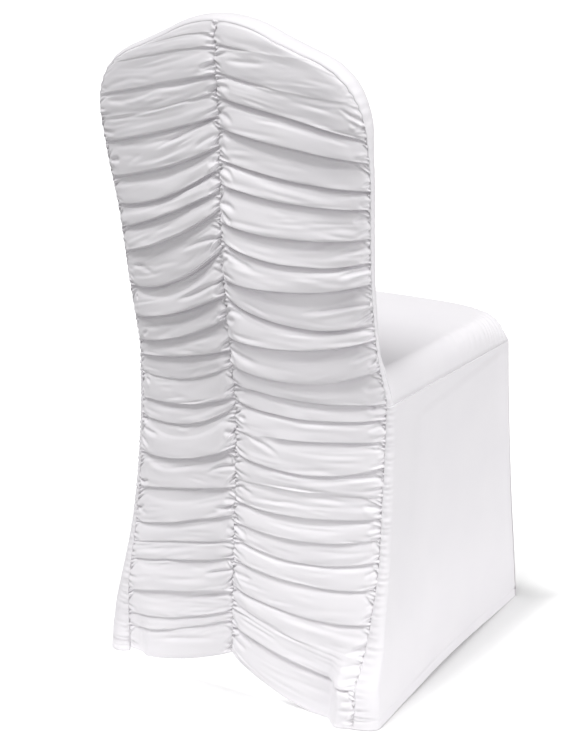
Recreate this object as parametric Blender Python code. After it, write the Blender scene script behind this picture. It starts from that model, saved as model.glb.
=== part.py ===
"""A cover of white stretch cloth for a crown-backed banquet chair, as it hangs when it is fitted.

The back is ruched: two gathered panels meet in a seam down the middle. The cloth is smooth everywhere
else. Lengths are in metres. X points to the right as seen from behind, Y to the front, and Z up, with
the floor at Z = 0. Every panel is a thin closed solid, made of an outer face and an inner face.
"""

import bpy
import bmesh
import numpy as np

# Driving dimensions
CLOTH = 0.0020
LEAST_FACING = 0.65
SEAM_GAP = 0.00032
OUTLINE_MARGIN = 0.0006
BOX_MIDDLE = 0.1793
SEAT_SEAM_HEIGHT = 0.430
SEAT_TOP_HEIGHT = 0.474
CROWN_HEIGHT = 0.921
SHOULDER_HEIGHT = 0.901
WIDEST_HEIGHT = 0.780

# The side seam of the ruched back, from the floor to the shoulder: height, half width, depth
SIDE_SEAM = (
    (0.000, 0.1837, -0.0493),
    (0.050, 0.1925, -0.0390),
    (0.100, 0.1984, -0.0281),
    (0.200, 0.2003, -0.0016),
    (0.300, 0.1980, 0.0115),
    (0.400, 0.1972, 0.0185),
    (0.430, 0.1985, 0.0180),
    (0.460, 0.1955, 0.0125),
    (0.500, 0.1930, 0.0012),
    (0.580, 0.1926, -0.0155),
    (0.660, 0.1952, -0.0268),
    (0.740, 0.2012, -0.0411),
    (0.790, 0.2014, -0.0515),
    (0.822, 0.1950, -0.0576),
    (0.8475, 0.1810, -0.0624),
    (0.861, 0.1675, -0.0650),
    (0.873, 0.1500, -0.0673),
    (0.887, 0.1140, -0.0699),
    (0.901, 0.0780, -0.0726),
)

# How the side seams go out and back round the feet of the rear legs: height, out, back
RIGHT_FOOT = (
    (0.000, 0.0180, 0.0190),
    (0.035, 0.0130, 0.0240),
    (0.055, 0.0065, 0.0215),
    (0.070, 0.0035, 0.0130),
    (0.090, 0.0010, 0.0040),
    (0.110, 0.0000, 0.0000),
)
LEFT_FOOT = (
    (0.000, 0.0080, -0.0120),
    (0.035, 0.0050, -0.0090),
    (0.070, 0.0010, -0.0030),
    (0.110, 0.0000, 0.0000),
)
FOOT_STARTS = 0.76
FOOT_FULL = 0.89

# The middle seam, which stands behind the side seams like the ridge of a tent: height, depth
MIDDLE_SEAM = (
    (0.000, -0.0560),
    (0.100, -0.0526),
    (0.200, -0.0480),
    (0.300, -0.0417),
    (0.400, -0.0385),
    (0.480, -0.0475),
    (0.560, -0.0600),
    (0.640, -0.0680),
    (0.720, -0.0690),
    (0.800, -0.0705),
    (0.880, -0.0770),
    (0.921, -0.0764),
)

# Creases of the right half: height at the middle seam, half way and at the side seam, and how far
# the cloth below the crease stands out
RIGHT_FOLDS = (
    (0.921, 0.916, 0.901, 0.003),
    (0.886, 0.878, 0.868, 0.004),
    (0.859, 0.841, 0.832, 0.006),
    (0.828, 0.807, 0.784, 0.007),
    (0.790, 0.769, 0.757, 0.006),
    (0.761, 0.728, 0.721, 0.008),
    (0.719, 0.696, 0.698, 0.009),
    (0.670, 0.651, 0.660, 0.007),
    (0.646, 0.617, 0.629, 0.010),
    (0.593, 0.583, 0.600, 0.007),
    (0.571, 0.533, 0.546, 0.011),
    (0.513, 0.502, 0.524, 0.009),
    (0.476, 0.455, 0.480, 0.007),
    (0.447, 0.429, 0.441, 0.006),
    (0.420, 0.404, 0.411, 0.007),
    (0.380, 0.375, 0.380, 0.008),
    (0.349, 0.326, 0.344, 0.008),
    (0.309, 0.303, 0.302, 0.006),
    (0.277, 0.266, 0.275, 0.007),
    (0.248, 0.234, 0.246, 0.006),
    (0.226, 0.202, 0.216, 0.007),
    (0.197, 0.173, 0.178, 0.008),
    (0.156, 0.127, 0.131, 0.006),
    (0.136, 0.098, 0.090, 0.008),
    (0.101, 0.064, 0.050, 0.008),
    (0.055, 0.005, 0.000, 0.000),
)

# Creases of the left half, in the same columns
LEFT_FOLDS = (
    (0.921, 0.916, 0.901, 0.002),
    (0.907, 0.900, 0.884, 0.004),
    (0.890, 0.878, 0.860, 0.006),
    (0.856, 0.835, 0.816, 0.006),
    (0.834, 0.806, 0.786, 0.006),
    (0.803, 0.774, 0.751, 0.008),
    (0.765, 0.727, 0.703, 0.008),
    (0.737, 0.688, 0.666, 0.009),
    (0.690, 0.656, 0.631, 0.009),
    (0.649, 0.617, 0.598, 0.007),
    (0.631, 0.570, 0.549, 0.011),
    (0.569, 0.528, 0.501, 0.009),
    (0.537, 0.491, 0.465, 0.008),
    (0.492, 0.463, 0.442, 0.006),
    (0.469, 0.430, 0.416, 0.009),
    (0.426, 0.392, 0.378, 0.006),
    (0.412, 0.362, 0.354, 0.011),
    (0.353, 0.306, 0.297, 0.010),
    (0.296, 0.268, 0.244, 0.009),
    (0.258, 0.221, 0.190, 0.007),
    (0.220, 0.191, 0.163, 0.006),
    (0.195, 0.165, 0.139, 0.009),
    (0.146, 0.120, 0.093, 0.007),
    (0.118, 0.083, 0.060, 0.006),
    (0.098, 0.058, 0.038, 0.007),
    (0.055, 0.018, 0.005, 0.000),
)

# A fold in section, from its crease down to the next one: share of the way, share of its depth
FOLD_SECTION = ((0.00, 0.00), (0.28, 0.52), (0.60, 1.00), (0.86, 0.72))

# Stations from the middle seam to the side seam, and the share of a fold's depth at each
FOLD_STATIONS = (
    (0.00, 0.00),
    (0.06, 0.80),
    (0.14, 1.00),
    (0.28, 0.92),
    (0.44, 0.84),
    (0.60, 0.82),
    (0.76, 0.86),
    (0.89, 0.80),
    (0.96, 0.55),
    (1.00, 0.00),
)
TENT_POWER = 1.15

# How the side cloth goes round the right rear leg: height, half width outside, reach of the round,
# and the angle at which it leaves the seam, from straight back (0) to sideways (90)
RIGHT_LEG = (
    (0.000, 0.2325, 0.0230, 115.0),
    (0.035, 0.2300, 0.0230, 112.0),
    (0.055, 0.2265, 0.0200, 105.0),
    (0.070, 0.2240, 0.0160, 92.0),
    (0.090, 0.2220, 0.0130, 80.0),
    (0.120, 0.2185, 0.0120, 74.0),
    (0.200, 0.2125, 0.0120, 84.0),
    (0.300, 0.2080, 0.0130, 90.0),
    (0.430, 0.2055, 0.0105, 90.0),
)

# The left rear leg stands further in, so its cloth goes on flat behind it, in the same columns
LEFT_LEG = (
    (0.000, 0.2325, 0.0270, 46.0),
    (0.030, 0.2325, 0.0240, 50.0),
    (0.060, 0.2290, 0.0180, 62.0),
    (0.120, 0.2190, 0.0130, 80.0),
    (0.200, 0.2125, 0.0120, 86.0),
    (0.300, 0.2080, 0.0130, 90.0),
    (0.430, 0.2055, 0.0105, 90.0),
)
LEG_STEPS = 7
SKIRT_STATIONS = (0.05, 0.14, 0.26, 0.40, 0.55, 0.70, 0.84, 1.00)
SKIRT_HEIGHTS = (
    0.430, 0.412, 0.370, 0.300, 0.230, 0.170, 0.130, 0.110, 0.096,
    0.084, 0.074, 0.065, 0.057, 0.049, 0.040, 0.028, 0.014, 0.000,
)

# The front corner of the skirt: height, half width, depth, and how far the front stands out
# beyond the line from corner to corner
FRONT_CORNER = (
    (0.000, 0.2130, 0.4400, -0.0060),
    (0.096, 0.2085, 0.4320, -0.0070),
    (0.166, 0.2062, 0.4230, -0.0020),
    (0.250, 0.2045, 0.4125, 0.0080),
    (0.350, 0.2032, 0.4010, 0.0210),
    (0.400, 0.2027, 0.3965, 0.0300),
    (0.430, 0.2025, 0.3940, 0.0340),
)
FRONT_STATIONS = (-1.0, -0.9, -0.72, -0.48, -0.24, 0.0, 0.24, 0.48, 0.72, 0.9, 1.0)
FRONT_POWER = 3

# How far the side skirt is drawn in between the legs: height, depth
SIDE_DRAW = ((0.000, 0.0035), (0.100, 0.0060), (0.200, 0.0070), (0.300, 0.0050), (0.390, 0.0015), (0.430, 0.0))
HEM_LIFT = 0.005

# The smooth cloth round the edge of the back, at heights of the side seam: height, how much wider
# its front edge is than the seam, how far it swells between the two, and its depth
BACK_EDGE = (
    (0.430, 0.0050, 0.0015, 0.0080),
    (0.465, 0.0015, 0.0020, 0.0080),
    (0.493, -0.0015, 0.0020, 0.0100),
    (0.520, -0.0040, 0.0030, 0.0140),
    (0.576, -0.0060, 0.0035, 0.0190),
    (0.640, -0.0075, 0.0040, 0.0220),
    (0.740, -0.0075, 0.0040, 0.0230),
    (0.820, -0.0040, 0.0065, 0.0290),
    (0.861, -0.0010, 0.0080, 0.0350),
    (0.901, 0.0000, 0.0090, 0.0400),
)
EDGE_STEPS = 6
EDGE_HEIGHTS = (
    0.430, 0.445, 0.465, 0.490, 0.520, 0.560, 0.600, 0.645, 0.690, 0.730, 0.765, 0.790,
    0.8055, 0.819, 0.8305, 0.841, 0.8505, 0.859, 0.867, 0.874, 0.881, 0.8875, 0.894, 0.901,
)
PADDING = 0.016

# The cushion's edge in section and its front corners in plan, and how much of the cushion's height
# the cloth keeps outside them
SEAT_HALF_WIDTH = 0.2045
SEAT_DEPTH = 0.3750
SEAT_ROLL = 0.026
SEAT_CORNER = 0.062
CORNER_WEB = 0.30

# Stations across the seat and the front of the back, and from the back of the seat to its front
ACROSS = (
    -1.0, -0.985, -0.95, -0.90, -0.80, -0.62, -0.42, -0.21, 0.0,
    0.21, 0.42, 0.62, 0.80, 0.90, 0.95, 0.985, 1.0,
)
SEAT_STATIONS = (0.0, 0.12, 0.32, 0.54, 0.70, 0.80, 0.87, 0.92, 0.96, 0.985, 1.0)

WHITE = (0.86, 0.87, 0.88, 1.0)
ROUGHNESS = 0.62


def smooth(rows, column, at):
    """A smooth curve through one column of a table whose first column rises."""
    xs = np.array([row[0] for row in rows])
    ys = np.array([row[column] for row in rows])
    at = np.clip(np.asarray(at, float), xs[0], xs[-1])
    steps = np.diff(ys) / np.diff(xs)
    slopes = np.concatenate([steps[:1], (steps[:-1] + steps[1:]) / 2, steps[-1:]])
    turns = np.concatenate([[False], steps[:-1] * steps[1:] <= 0, [False]])
    slopes[turns] = 0.0
    i = np.clip(np.searchsorted(xs, at, side="right") - 1, 0, len(xs) - 2)
    width = xs[i + 1] - xs[i]
    t = (at - xs[i]) / width
    start = ys[i] * (1 + 2 * t) * (1 - t) ** 2 + slopes[i] * width * t * (1 - t) ** 2
    end = ys[i + 1] * t**2 * (3 - 2 * t) - slopes[i + 1] * width * t**2 * (1 - t)
    return start + end


def unit(vectors):
    """The same directions with a length of one."""
    return vectors / np.maximum(np.linalg.norm(vectors, axis=-1, keepdims=True), 1e-9)


def face_normals(grid):
    """Unit normals of a grid of points, across rows and columns."""
    along = np.gradient(grid, axis=0)
    across = np.gradient(grid, axis=1)
    return unit(np.cross(across, along))


def grid_faces(rows, columns, first=0):
    """Four-cornered faces of a grid whose points are numbered row by row."""
    return [
        (first + r * columns + c, first + r * columns + c + 1,
         first + (r + 1) * columns + c + 1, first + (r + 1) * columns + c)
        for r in range(rows - 1)
        for c in range(columns - 1)
    ]


def cloth_material(name):
    """White stretch cloth with a soft sheen."""
    material = bpy.data.materials.new(name)
    material.use_nodes = True
    shader = material.node_tree.nodes["Principled BSDF"]
    shader.inputs["Base Color"].default_value = WHITE
    shader.inputs["Roughness"].default_value = ROUGHNESS
    shader.inputs["Metallic"].default_value = 0.0
    material.diffuse_color = WHITE
    return material


def cloth_solid(name, outer, inner, faces):
    """One closed solid from an outer face, the inner face behind it and the rim between them."""
    mesh = bpy.data.meshes.new(name)
    model = bmesh.new()
    outside = [model.verts.new(p) for p in outer - [0.0, BOX_MIDDLE, 0.0]]
    inside = [model.verts.new(p) for p in inner - [0.0, BOX_MIDDLE, 0.0]]
    edges = set()
    for face in faces:
        model.faces.new([outside[i] for i in face])
        model.faces.new([inside[i] for i in reversed(face)])
        edges.update(zip(face, face[1:] + face[:1]))
    for a, b in sorted(edges):
        if (b, a) not in edges:
            model.faces.new([outside[b], outside[a], inside[a], inside[b]])
    if model.calc_volume(signed=True) < 0:
        bmesh.ops.reverse_faces(model, faces=model.faces)
    model.to_mesh(mesh)
    model.free()
    mesh.shade_smooth()
    mesh.set_sharp_from_angle(angle=np.radians(60))
    mesh.materials.append(cloth_material(name + "_cloth"))
    piece = bpy.data.objects.new(name, mesh)
    bpy.context.scene.collection.objects.link(piece)
    return piece


def seam_half_width(height, side):
    """Half width of the ruched back at its side seam."""
    return smooth(SIDE_SEAM, 1, height) + smooth(RIGHT_FOOT if side > 0 else LEFT_FOOT, 1, height)


def foot_back(height, side):
    """How far the foot of the rear leg pushes the side seam back."""
    return smooth(RIGHT_FOOT if side > 0 else LEFT_FOOT, 2, height)


def leg_round(height, side):
    """The round behind a rear leg: its half width outside, its reach, start angle and half width."""
    table = RIGHT_LEG if side > 0 else LEFT_LEG
    outside = smooth(table, 1, height)
    start = np.radians(smooth(table, 3, height))
    radius = (outside - seam_half_width(height, side)) / (1 + np.cos(start))
    return outside, smooth(table, 2, height), start, radius


def leg_start(height, side):
    """Where the side cloth leaves the side seam: its direction and its inward side, in plan."""
    _, reach, start, radius = leg_round(height, side)
    forward = unit(np.stack([radius * np.sin(start), -reach * np.cos(start)], -1))
    inward = np.stack([-forward[..., 1], forward[..., 0]], -1)
    return forward, inward


def mitre(height, side):
    """From a point of the side seam to the inside of the cloth there, for one unit of thickness."""
    inward = leg_start(height, side)[1]
    joined = inward + [0.0, 1.0]
    joined = joined / (1 + inward[..., 1:2])
    return np.stack([side * joined[..., 0], joined[..., 1], np.zeros(len(joined))], -1)


def outline_inward(path, side):
    """The directions in the plane of the back that point inwards from its outline."""
    run = unit(np.gradient(path, axis=0))
    return unit(np.stack([-side * run[:, 2], np.zeros(len(run)), side * run[:, 0]], -1))


def outline_height(across):
    """Height of the seam over the crown and the shoulders, at a distance from the middle."""
    shoulder_width = SIDE_SEAM[-1][1]
    rising = np.linspace(SHOULDER_HEIGHT, WIDEST_HEIGHT, 60)
    shoulder = np.interp(across, smooth(SIDE_SEAM, 1, rising), rising)
    crown = CROWN_HEIGHT - (CROWN_HEIGHT - SHOULDER_HEIGHT) * (across / shoulder_width) ** 2
    return np.where(across < shoulder_width, crown, shoulder)


def ruched_panel(name, folds, side):
    """One gathered half of the back, as a grid whose rows run along the folds."""
    stations = np.array([station for station, _ in FOLD_STATIONS])
    share = np.array([part for _, part in FOLD_STATIONS])
    rows = []
    for upper, lower in zip(folds, folds[1:]):
        for way, rise in FOLD_SECTION:
            heights = [a + (b - a) * way for a, b in zip(upper[:3], lower[:3])]
            rows.append((*heights, upper[3] * rise))
    rows.append(folds[-1])
    middle, half, edge, depth = (np.array(column)[:, None] for column in zip(*rows))
    height = (
        middle
        + stations * (4 * half - 3 * middle - edge)
        + stations**2 * (2 * middle + 2 * edge - 4 * half)
    )
    width = seam_half_width(edge, side) * stations
    inside = outline_height(width) - OUTLINE_MARGIN
    height[1:, :-1] = np.clip(height[1:, :-1], 0.0, inside[1:, :-1])
    toward_side = stations**TENT_POWER
    depth_middle = smooth(MIDDLE_SEAM, 1, height)
    depth_side = smooth(SIDE_SEAM, 2, height)
    pocket = np.clip((stations - FOOT_STARTS) / (FOOT_FULL - FOOT_STARTS), 0.0, 1.0)
    back = depth_middle + (depth_side - depth_middle) * toward_side - foot_back(height, side) * pocket
    outer = np.stack([side * width, back - depth * share, height], -1)
    facing = np.clip(np.abs(face_normals(outer)[..., 1]), LEAST_FACING, 1.0)
    inner = outer.copy()
    inner[..., 1] += CLOTH / facing
    inner[:, 0] = outer[:, 0] + [0.0, CLOTH, 0.0]
    inner[:, -1] = outer[:, -1] + CLOTH * mitre(edge[:, 0], side)
    inner[0, :] = outer[0, :] + [0.0, CLOTH, 0.0]
    side_path = outline_inward(outer[::-1, -1], side)[::-1]
    crown_path = outline_inward(outer[0, ::-1], side)[::-1]
    for layer in (outer, inner):
        layer[:, 0, 0] += side * SEAM_GAP
        layer[:, -1] += side_path * SEAM_GAP
        layer[1:, -2] += side_path[1:] * SEAM_GAP
        layer[:2, :-1] += crown_path[:-1] * SEAM_GAP
    count = len(rows)
    columns = len(stations)
    return cloth_solid(name, outer.reshape(-1, 3), inner.reshape(-1, 3), grid_faces(count, columns))


def leg_points(height, side):
    """Plan of the side cloth round the rear leg at one height, from the side seam to the side."""
    outside, reach, start, radius = leg_round(height, side)
    turn = np.linspace(start, np.pi, LEG_STEPS)
    seam_depth = smooth(SIDE_SEAM, 2, height) - foot_back(height, side)
    return np.stack([
        side * (outside - radius - radius * np.cos(turn)),
        seam_depth + reach * (np.sin(start) - np.sin(turn)),
        np.full(LEG_STEPS, height),
    ], -1)


def side_skirt(name, side):
    """A side of the skirt, round the rear leg to the ruched back, with its foot pocket."""
    stations = np.array(SKIRT_STATIONS)
    rows = []
    for height in SKIRT_HEIGHTS:
        leg = leg_points(height, side)
        corner = [side * float(smooth(FRONT_CORNER, 1, height)), float(smooth(FRONT_CORNER, 2, height)), height]
        run = leg[-1] + (np.array(corner) - leg[-1]) * stations[:, None]
        arch = (4 * stations * (1 - stations)) ** 0.8
        run[:, 0] -= side * float(smooth(SIDE_DRAW, 1, height)) * arch
        rows.append(np.concatenate([leg, run]))
    outer = np.array(rows)
    outer[-1, LEG_STEPS:, 2] = HEM_LIFT * (4 * stations * (1 - stations)) ** 2
    inward = face_normals(outer)
    inward[..., 2] = 0.0
    inward = unit(inward)
    inward *= np.where(side * inward[:, -3:-2, :1] < 0, 1.0, -1.0)
    inner = outer + inward * CLOTH
    inner[:, 0] = outer[:, 0] + CLOTH * mitre(np.array(SKIRT_HEIGHTS), side)
    inner[:, -1] = outer[:, -1] + np.array([-side, -1.0, 0.0]) * CLOTH
    away = leg_start(np.array(SKIRT_HEIGHTS), side)[0]
    for layer in (outer, inner):
        layer[:, 0, 0] += side * away[:, 0] * SEAM_GAP
        layer[:, 0, 1] += away[:, 1] * SEAM_GAP
        layer[:, -1, 1] -= SEAM_GAP
        layer[0, :, 2] -= SEAM_GAP
    rows, columns = outer.shape[:2]
    return cloth_solid(name, outer.reshape(-1, 3), inner.reshape(-1, 3), grid_faces(rows, columns))


def front_line(height, stations):
    """The front of the skirt at one height, from the left corner to the right one."""
    half = float(smooth(FRONT_CORNER, 1, height))
    bow = float(smooth(FRONT_CORNER, 3, height))
    depth = float(smooth(FRONT_CORNER, 2, height)) + bow * (1 - np.abs(stations) ** FRONT_POWER)
    return np.stack([half * stations, depth, np.full(len(stations), height)], -1)


def front_skirt(name):
    """The front of the skirt, hung from the front edge of the seat."""
    stations = np.array(FRONT_STATIONS)
    outer = np.array([front_line(height, stations) for height in SKIRT_HEIGHTS])
    outer[-1, :, 2] = HEM_LIFT * (1 - stations**2) ** 2
    inward = face_normals(outer)
    inward[..., 2] = 0.0
    inward = unit(inward)
    inward *= -np.sign(inward[..., 1:2])
    inner = outer + inward * CLOTH
    inner[:, 0] = outer[:, 0] + np.array([1.0, -1.0, 0.0]) * CLOTH
    inner[:, -1] = outer[:, -1] + np.array([-1.0, -1.0, 0.0]) * CLOTH
    for layer in (outer, inner):
        layer[:, 0, 0] += SEAM_GAP
        layer[:, -1, 0] -= SEAM_GAP
        layer[0, :, 2] -= SEAM_GAP
    rows, columns = outer.shape[:2]
    return cloth_solid(name, outer.reshape(-1, 3), inner.reshape(-1, 3), grid_faces(rows, columns))


def rolled(distance):
    """Share of the cushion's height at a distance from its edge."""
    left = 1 - np.clip(distance / SEAT_ROLL, 0.0, 1.0)
    return np.sqrt(1 - left**2)


def seat_rise(across, along):
    """Share of the cushion's height over the seam, from the back (0) to the front (1)."""
    beside = (1 - np.abs(across)) * SEAT_HALF_WIDTH
    before = (1 - along) * SEAT_DEPTH
    nearest = np.minimum(beside, before)
    corner = SEAT_CORNER - np.hypot(SEAT_CORNER - beside, SEAT_CORNER - before)
    distance = np.where(np.maximum(beside, before) < SEAT_CORNER, corner, nearest)
    return np.maximum(rolled(distance), CORNER_WEB * rolled(nearest))


def back_front(rising, across):
    """The padded front of the back: points for rows of side heights and stations across."""
    share = (rising - SEAT_SEAM_HEIGHT) / (SHOULDER_HEIGHT - SEAT_SEAM_HEIGHT)
    middle = SEAT_TOP_HEIGHT + (CROWN_HEIGHT - SEAT_TOP_HEIGHT) * share
    seat = seat_rise(across, 0.0)
    crown = 1 - across**2
    bend = np.clip(share * 3, 0.0, 1.0)
    height = rising + (middle - rising) * (seat * (1 - bend) + crown * bend)
    width = smooth(SIDE_SEAM, 1, rising) + smooth(BACK_EDGE, 1, rising)
    full = (1 - across**4) * np.sqrt(np.clip(1 - share**4, 0.0, 1.0))
    depth = smooth(SIDE_SEAM, 2, rising) + smooth(BACK_EDGE, 3, rising) + PADDING * full
    return np.stack([width * across, depth, height], -1)


def edge_band(seam, outward, front, swell):
    """Points from the front of the back round its rounded edge to the rear seam."""
    turn = np.linspace(np.pi, 0.0, EDGE_STEPS + 1)[1:]
    forward = (1 - np.cos(turn)) / 2
    return (
        seam[:, None]
        + (front - seam)[:, None] * forward[:, None]
        + outward[:, None] * (swell[:, None] * np.sin(turn))[..., None]
    )


def inside_back(name):
    """The smooth cloth of the back: its front, its rounded edge and the crown, up to the rear seam."""
    across = np.array(ACROSS)
    rising = np.array(EDGE_HEIGHTS)[:, None]
    front = back_front(rising, across)
    rows, columns = front.shape[:2]
    edge = np.array(EDGE_HEIGHTS)
    seam_side = np.stack([smooth(SIDE_SEAM, 1, edge), smooth(SIDE_SEAM, 2, edge), edge], -1)
    top = across[1:-1]
    top_height = CROWN_HEIGHT - (CROWN_HEIGHT - SHOULDER_HEIGHT) * top**2
    reach = np.abs(top) ** TENT_POWER
    top_depth = smooth(MIDDLE_SEAM, 1, top_height) * (1 - reach) + smooth(SIDE_SEAM, 2, SHOULDER_HEIGHT) * reach
    seam_top = np.stack([SIDE_SEAM[-1][1] * top, top_depth, top_height], -1)
    seam = np.concatenate([seam_side * [-1, 1, 1], seam_top, seam_side[::-1]])
    swell_side = smooth(BACK_EDGE, 2, edge)
    swell = np.concatenate([swell_side, np.full(len(top), swell_side[-1]), swell_side[::-1]])
    outward = outline_inward(seam, 1.0)
    ring = [r * columns for r in range(rows)]
    ring += [(rows - 1) * columns + c for c in range(1, columns - 1)]
    ring += [r * columns + columns - 1 for r in reversed(range(rows))]
    points = front.reshape(-1, 3)
    band = edge_band(seam, outward, points[ring], swell)
    outer = np.concatenate([points, band.reshape(-1, 3)])
    faces = grid_faces(rows, columns)
    first = len(points)
    for n in range(len(ring) - 1):
        here = [ring[n]] + [first + n * EDGE_STEPS + k for k in range(EDGE_STEPS)]
        there = [ring[n + 1]] + [first + (n + 1) * EDGE_STEPS + k for k in range(EDGE_STEPS)]
        for k in range(EDGE_STEPS):
            faces.append((here[k], there[k], there[k + 1], here[k + 1]))

    inner = outer + point_normals(outer, faces) * CLOTH
    last = first + np.arange(len(ring)) * EDGE_STEPS + EDGE_STEPS - 1
    beside = last - 1
    lean = ((inner[beside] - outer[last]) * outward).sum(-1)
    inner[beside] += outward * np.clip(SEAM_GAP - lean, 0.0, None)[:, None]
    inner[beside, 1] = np.maximum(inner[beside, 1], outer[last, 1] + CLOTH + SEAM_GAP)
    inner[last] = outer[last] + [0.0, CLOTH, 0.0]
    bottom = np.arange(columns)
    seat_inward = seat_edge_inward(across)
    inner[bottom] = outer[bottom] + seat_inward * CLOTH
    for side_start in (first, first + (len(ring) - 1) * EDGE_STEPS):
        strip = np.arange(side_start, side_start + EDGE_STEPS - 1)
        inner[strip, 2] = outer[strip, 2]
    for layer in (outer, inner):
        layer[last] += outward * SEAM_GAP
        layer[bottom, 2] += SEAM_GAP
        layer[first:first + EDGE_STEPS, 2] += SEAM_GAP
        layer[-EDGE_STEPS:, 2] += SEAM_GAP
    return cloth_solid(name, outer, inner, faces)


def point_normals(points, faces):
    """Unit normals at the points of a surface of four-cornered faces."""
    normals = np.zeros_like(points)
    for face in faces:
        a, b, c, d = (points[i] for i in face)
        turned = np.cross(c - a, d - b)
        for i in face:
            normals[i] += turned
    return unit(normals)


def seat_edge_inward(across):
    """Where the seat meets the back: from the crease to the inside of both cloths."""
    beside = (1 - np.abs(across)) * SEAT_HALF_WIDTH
    leaning = 1 - np.clip(beside / SEAT_ROLL, 0.0, 1.0)
    behind = np.where(beside > 0, -1.0, 0.0)
    return np.stack([-np.sign(across) * leaning, behind, -rolled(beside)], -1)


def seat_panel(name):
    """The top of the seat, rolled over the cushion's edge down to the seam."""
    across = np.array(ACROSS)
    along = np.array(SEAT_STATIONS)[:, None]
    rear = back_front(np.array([[SEAT_SEAM_HEIGHT]]), across)[0]
    front = front_line(SEAT_SEAM_HEIGHT, across)
    outer = rear + (front - rear) * along[..., None]
    rise = SEAT_TOP_HEIGHT - SEAT_SEAM_HEIGHT
    outer[..., 2] = SEAT_SEAM_HEIGHT + rise * seat_rise(across, along)
    inward = face_normals(outer)
    inward *= -np.sign(inward[..., 2:3] + 1e-9)
    inner = outer + inward * CLOTH
    inner[:, 0] = outer[:, 0] + [CLOTH, 0.0, 0.0]
    inner[:, -1] = outer[:, -1] - [CLOTH, 0.0, 0.0]
    inner[-1] = outer[-1] - [0.0, CLOTH, 0.0]
    inner[-1, 0] = outer[-1, 0] + [CLOTH, -CLOTH, 0.0]
    inner[-1, -1] = outer[-1, -1] - [CLOTH, CLOTH, 0.0]
    inner[0] = outer[0] + seat_edge_inward(across) * CLOTH
    for layer in (outer, inner):
        layer[1:, 0, 2] += SEAM_GAP
        layer[1:, -1, 2] += SEAM_GAP
        layer[-1, 1:-1, 2] += SEAM_GAP
        layer[0, :, 1] += 2 * SEAM_GAP
        layer[0, :, 2] += SEAM_GAP
    rows, columns = outer.shape[:2]
    return cloth_solid(name, outer.reshape(-1, 3), inner.reshape(-1, 3), grid_faces(rows, columns))


def main():
    for old in list(bpy.data.objects):
        bpy.data.objects.remove(old, do_unlink=True)
    ruched_panel("back_right", RIGHT_FOLDS, 1.0)
    ruched_panel("back_left", LEFT_FOLDS, -1.0)
    inside_back("inside_back")
    seat_panel("seat_panel")
    side_skirt("skirt_right", 1.0)
    side_skirt("skirt_left", -1.0)
    front_skirt("skirt_front")


main()
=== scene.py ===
# %% [markdown]
# # A ruched stretch cover for a banquet chair
# The cover is sewn from seven pieces of white stretch knit. Two of them, the halves of the back, are
# gathered on three threads: one down the middle and one down each side. Between the threads the spare
# cloth hangs in swags. The other five pieces are smooth. We build each piece as one grid of points that
# follows the cloth, because a grid lets us place every fold with a few lines of arithmetic.

# %% Load the frame
import math

import bpy
import numpy as np
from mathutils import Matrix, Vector


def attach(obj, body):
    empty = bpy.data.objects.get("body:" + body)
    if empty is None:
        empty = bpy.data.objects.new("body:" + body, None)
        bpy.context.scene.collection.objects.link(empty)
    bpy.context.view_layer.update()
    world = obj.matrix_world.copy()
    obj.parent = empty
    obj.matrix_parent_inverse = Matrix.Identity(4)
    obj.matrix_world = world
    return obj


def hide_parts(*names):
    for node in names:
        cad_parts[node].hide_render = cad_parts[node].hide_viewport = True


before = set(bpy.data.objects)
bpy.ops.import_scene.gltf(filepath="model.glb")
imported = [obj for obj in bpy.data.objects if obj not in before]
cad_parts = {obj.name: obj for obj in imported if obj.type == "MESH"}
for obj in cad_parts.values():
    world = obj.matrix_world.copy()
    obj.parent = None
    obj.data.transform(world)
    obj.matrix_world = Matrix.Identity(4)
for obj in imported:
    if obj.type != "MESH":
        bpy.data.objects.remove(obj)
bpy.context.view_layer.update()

print("nodes:", sorted(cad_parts))

# %% [markdown]
# ## The camera and the light
# The camera stands behind the chair, a little to its right and above it, with a long lens. The light is
# a pale room with two broad lamps: one high up behind the viewer's left shoulder, and one low down at the
# right, for the side of the skirt. Light that falls from above is what makes gathered cloth readable: it
# brightens the top of each swag and leaves the crease dark. The floor has two layers. The camera sees the
# upper one, which lights nothing: its glow is painted light, full in the middle so no shade shows under
# the hem, faint along the hem so the contact shadow stays, and moderate further out to pale the lamps'
# shadows. The small one below it glows in the middle and throws light back on the cloth, so the hem is
# lighter than the crown, as on a white stand.

# %% Camera
CAMERA_PLACE = Vector((1.1501, -1.9481, 1.0873))
CAMERA_AIM = Vector((0.0640, -0.1793, 0.4538))
LENS_MM = 77.8

camera_data = bpy.data.cameras.new("camera")
camera_data.lens = LENS_MM
camera_data.sensor_width = 36.0
camera = bpy.data.objects.new("camera", camera_data)
camera.location = CAMERA_PLACE
camera.rotation_euler = (CAMERA_AIM - CAMERA_PLACE).to_track_quat("-Z", "Y").to_euler()
bpy.context.scene.collection.objects.link(camera)
bpy.context.scene.camera = camera
bpy.context.scene.view_settings.view_transform = "Standard"
print("camera distance:", round((CAMERA_AIM - CAMERA_PLACE).length, 3))

# %% Room light and lamp
CEILING_LIGHT = 0.49
LIGHT_BELOW = 0.41
# Each lamp: name, strength, softness in degrees, and where it stands as seen from the cover
LAMPS = (
    ("lamp_over_the_back", 1.80, 26, (-0.18, -0.45, 1.0)),
    ("lamp_at_the_right", 1.46, 60, (1.0, -0.09, 0.17)),
)

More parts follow.
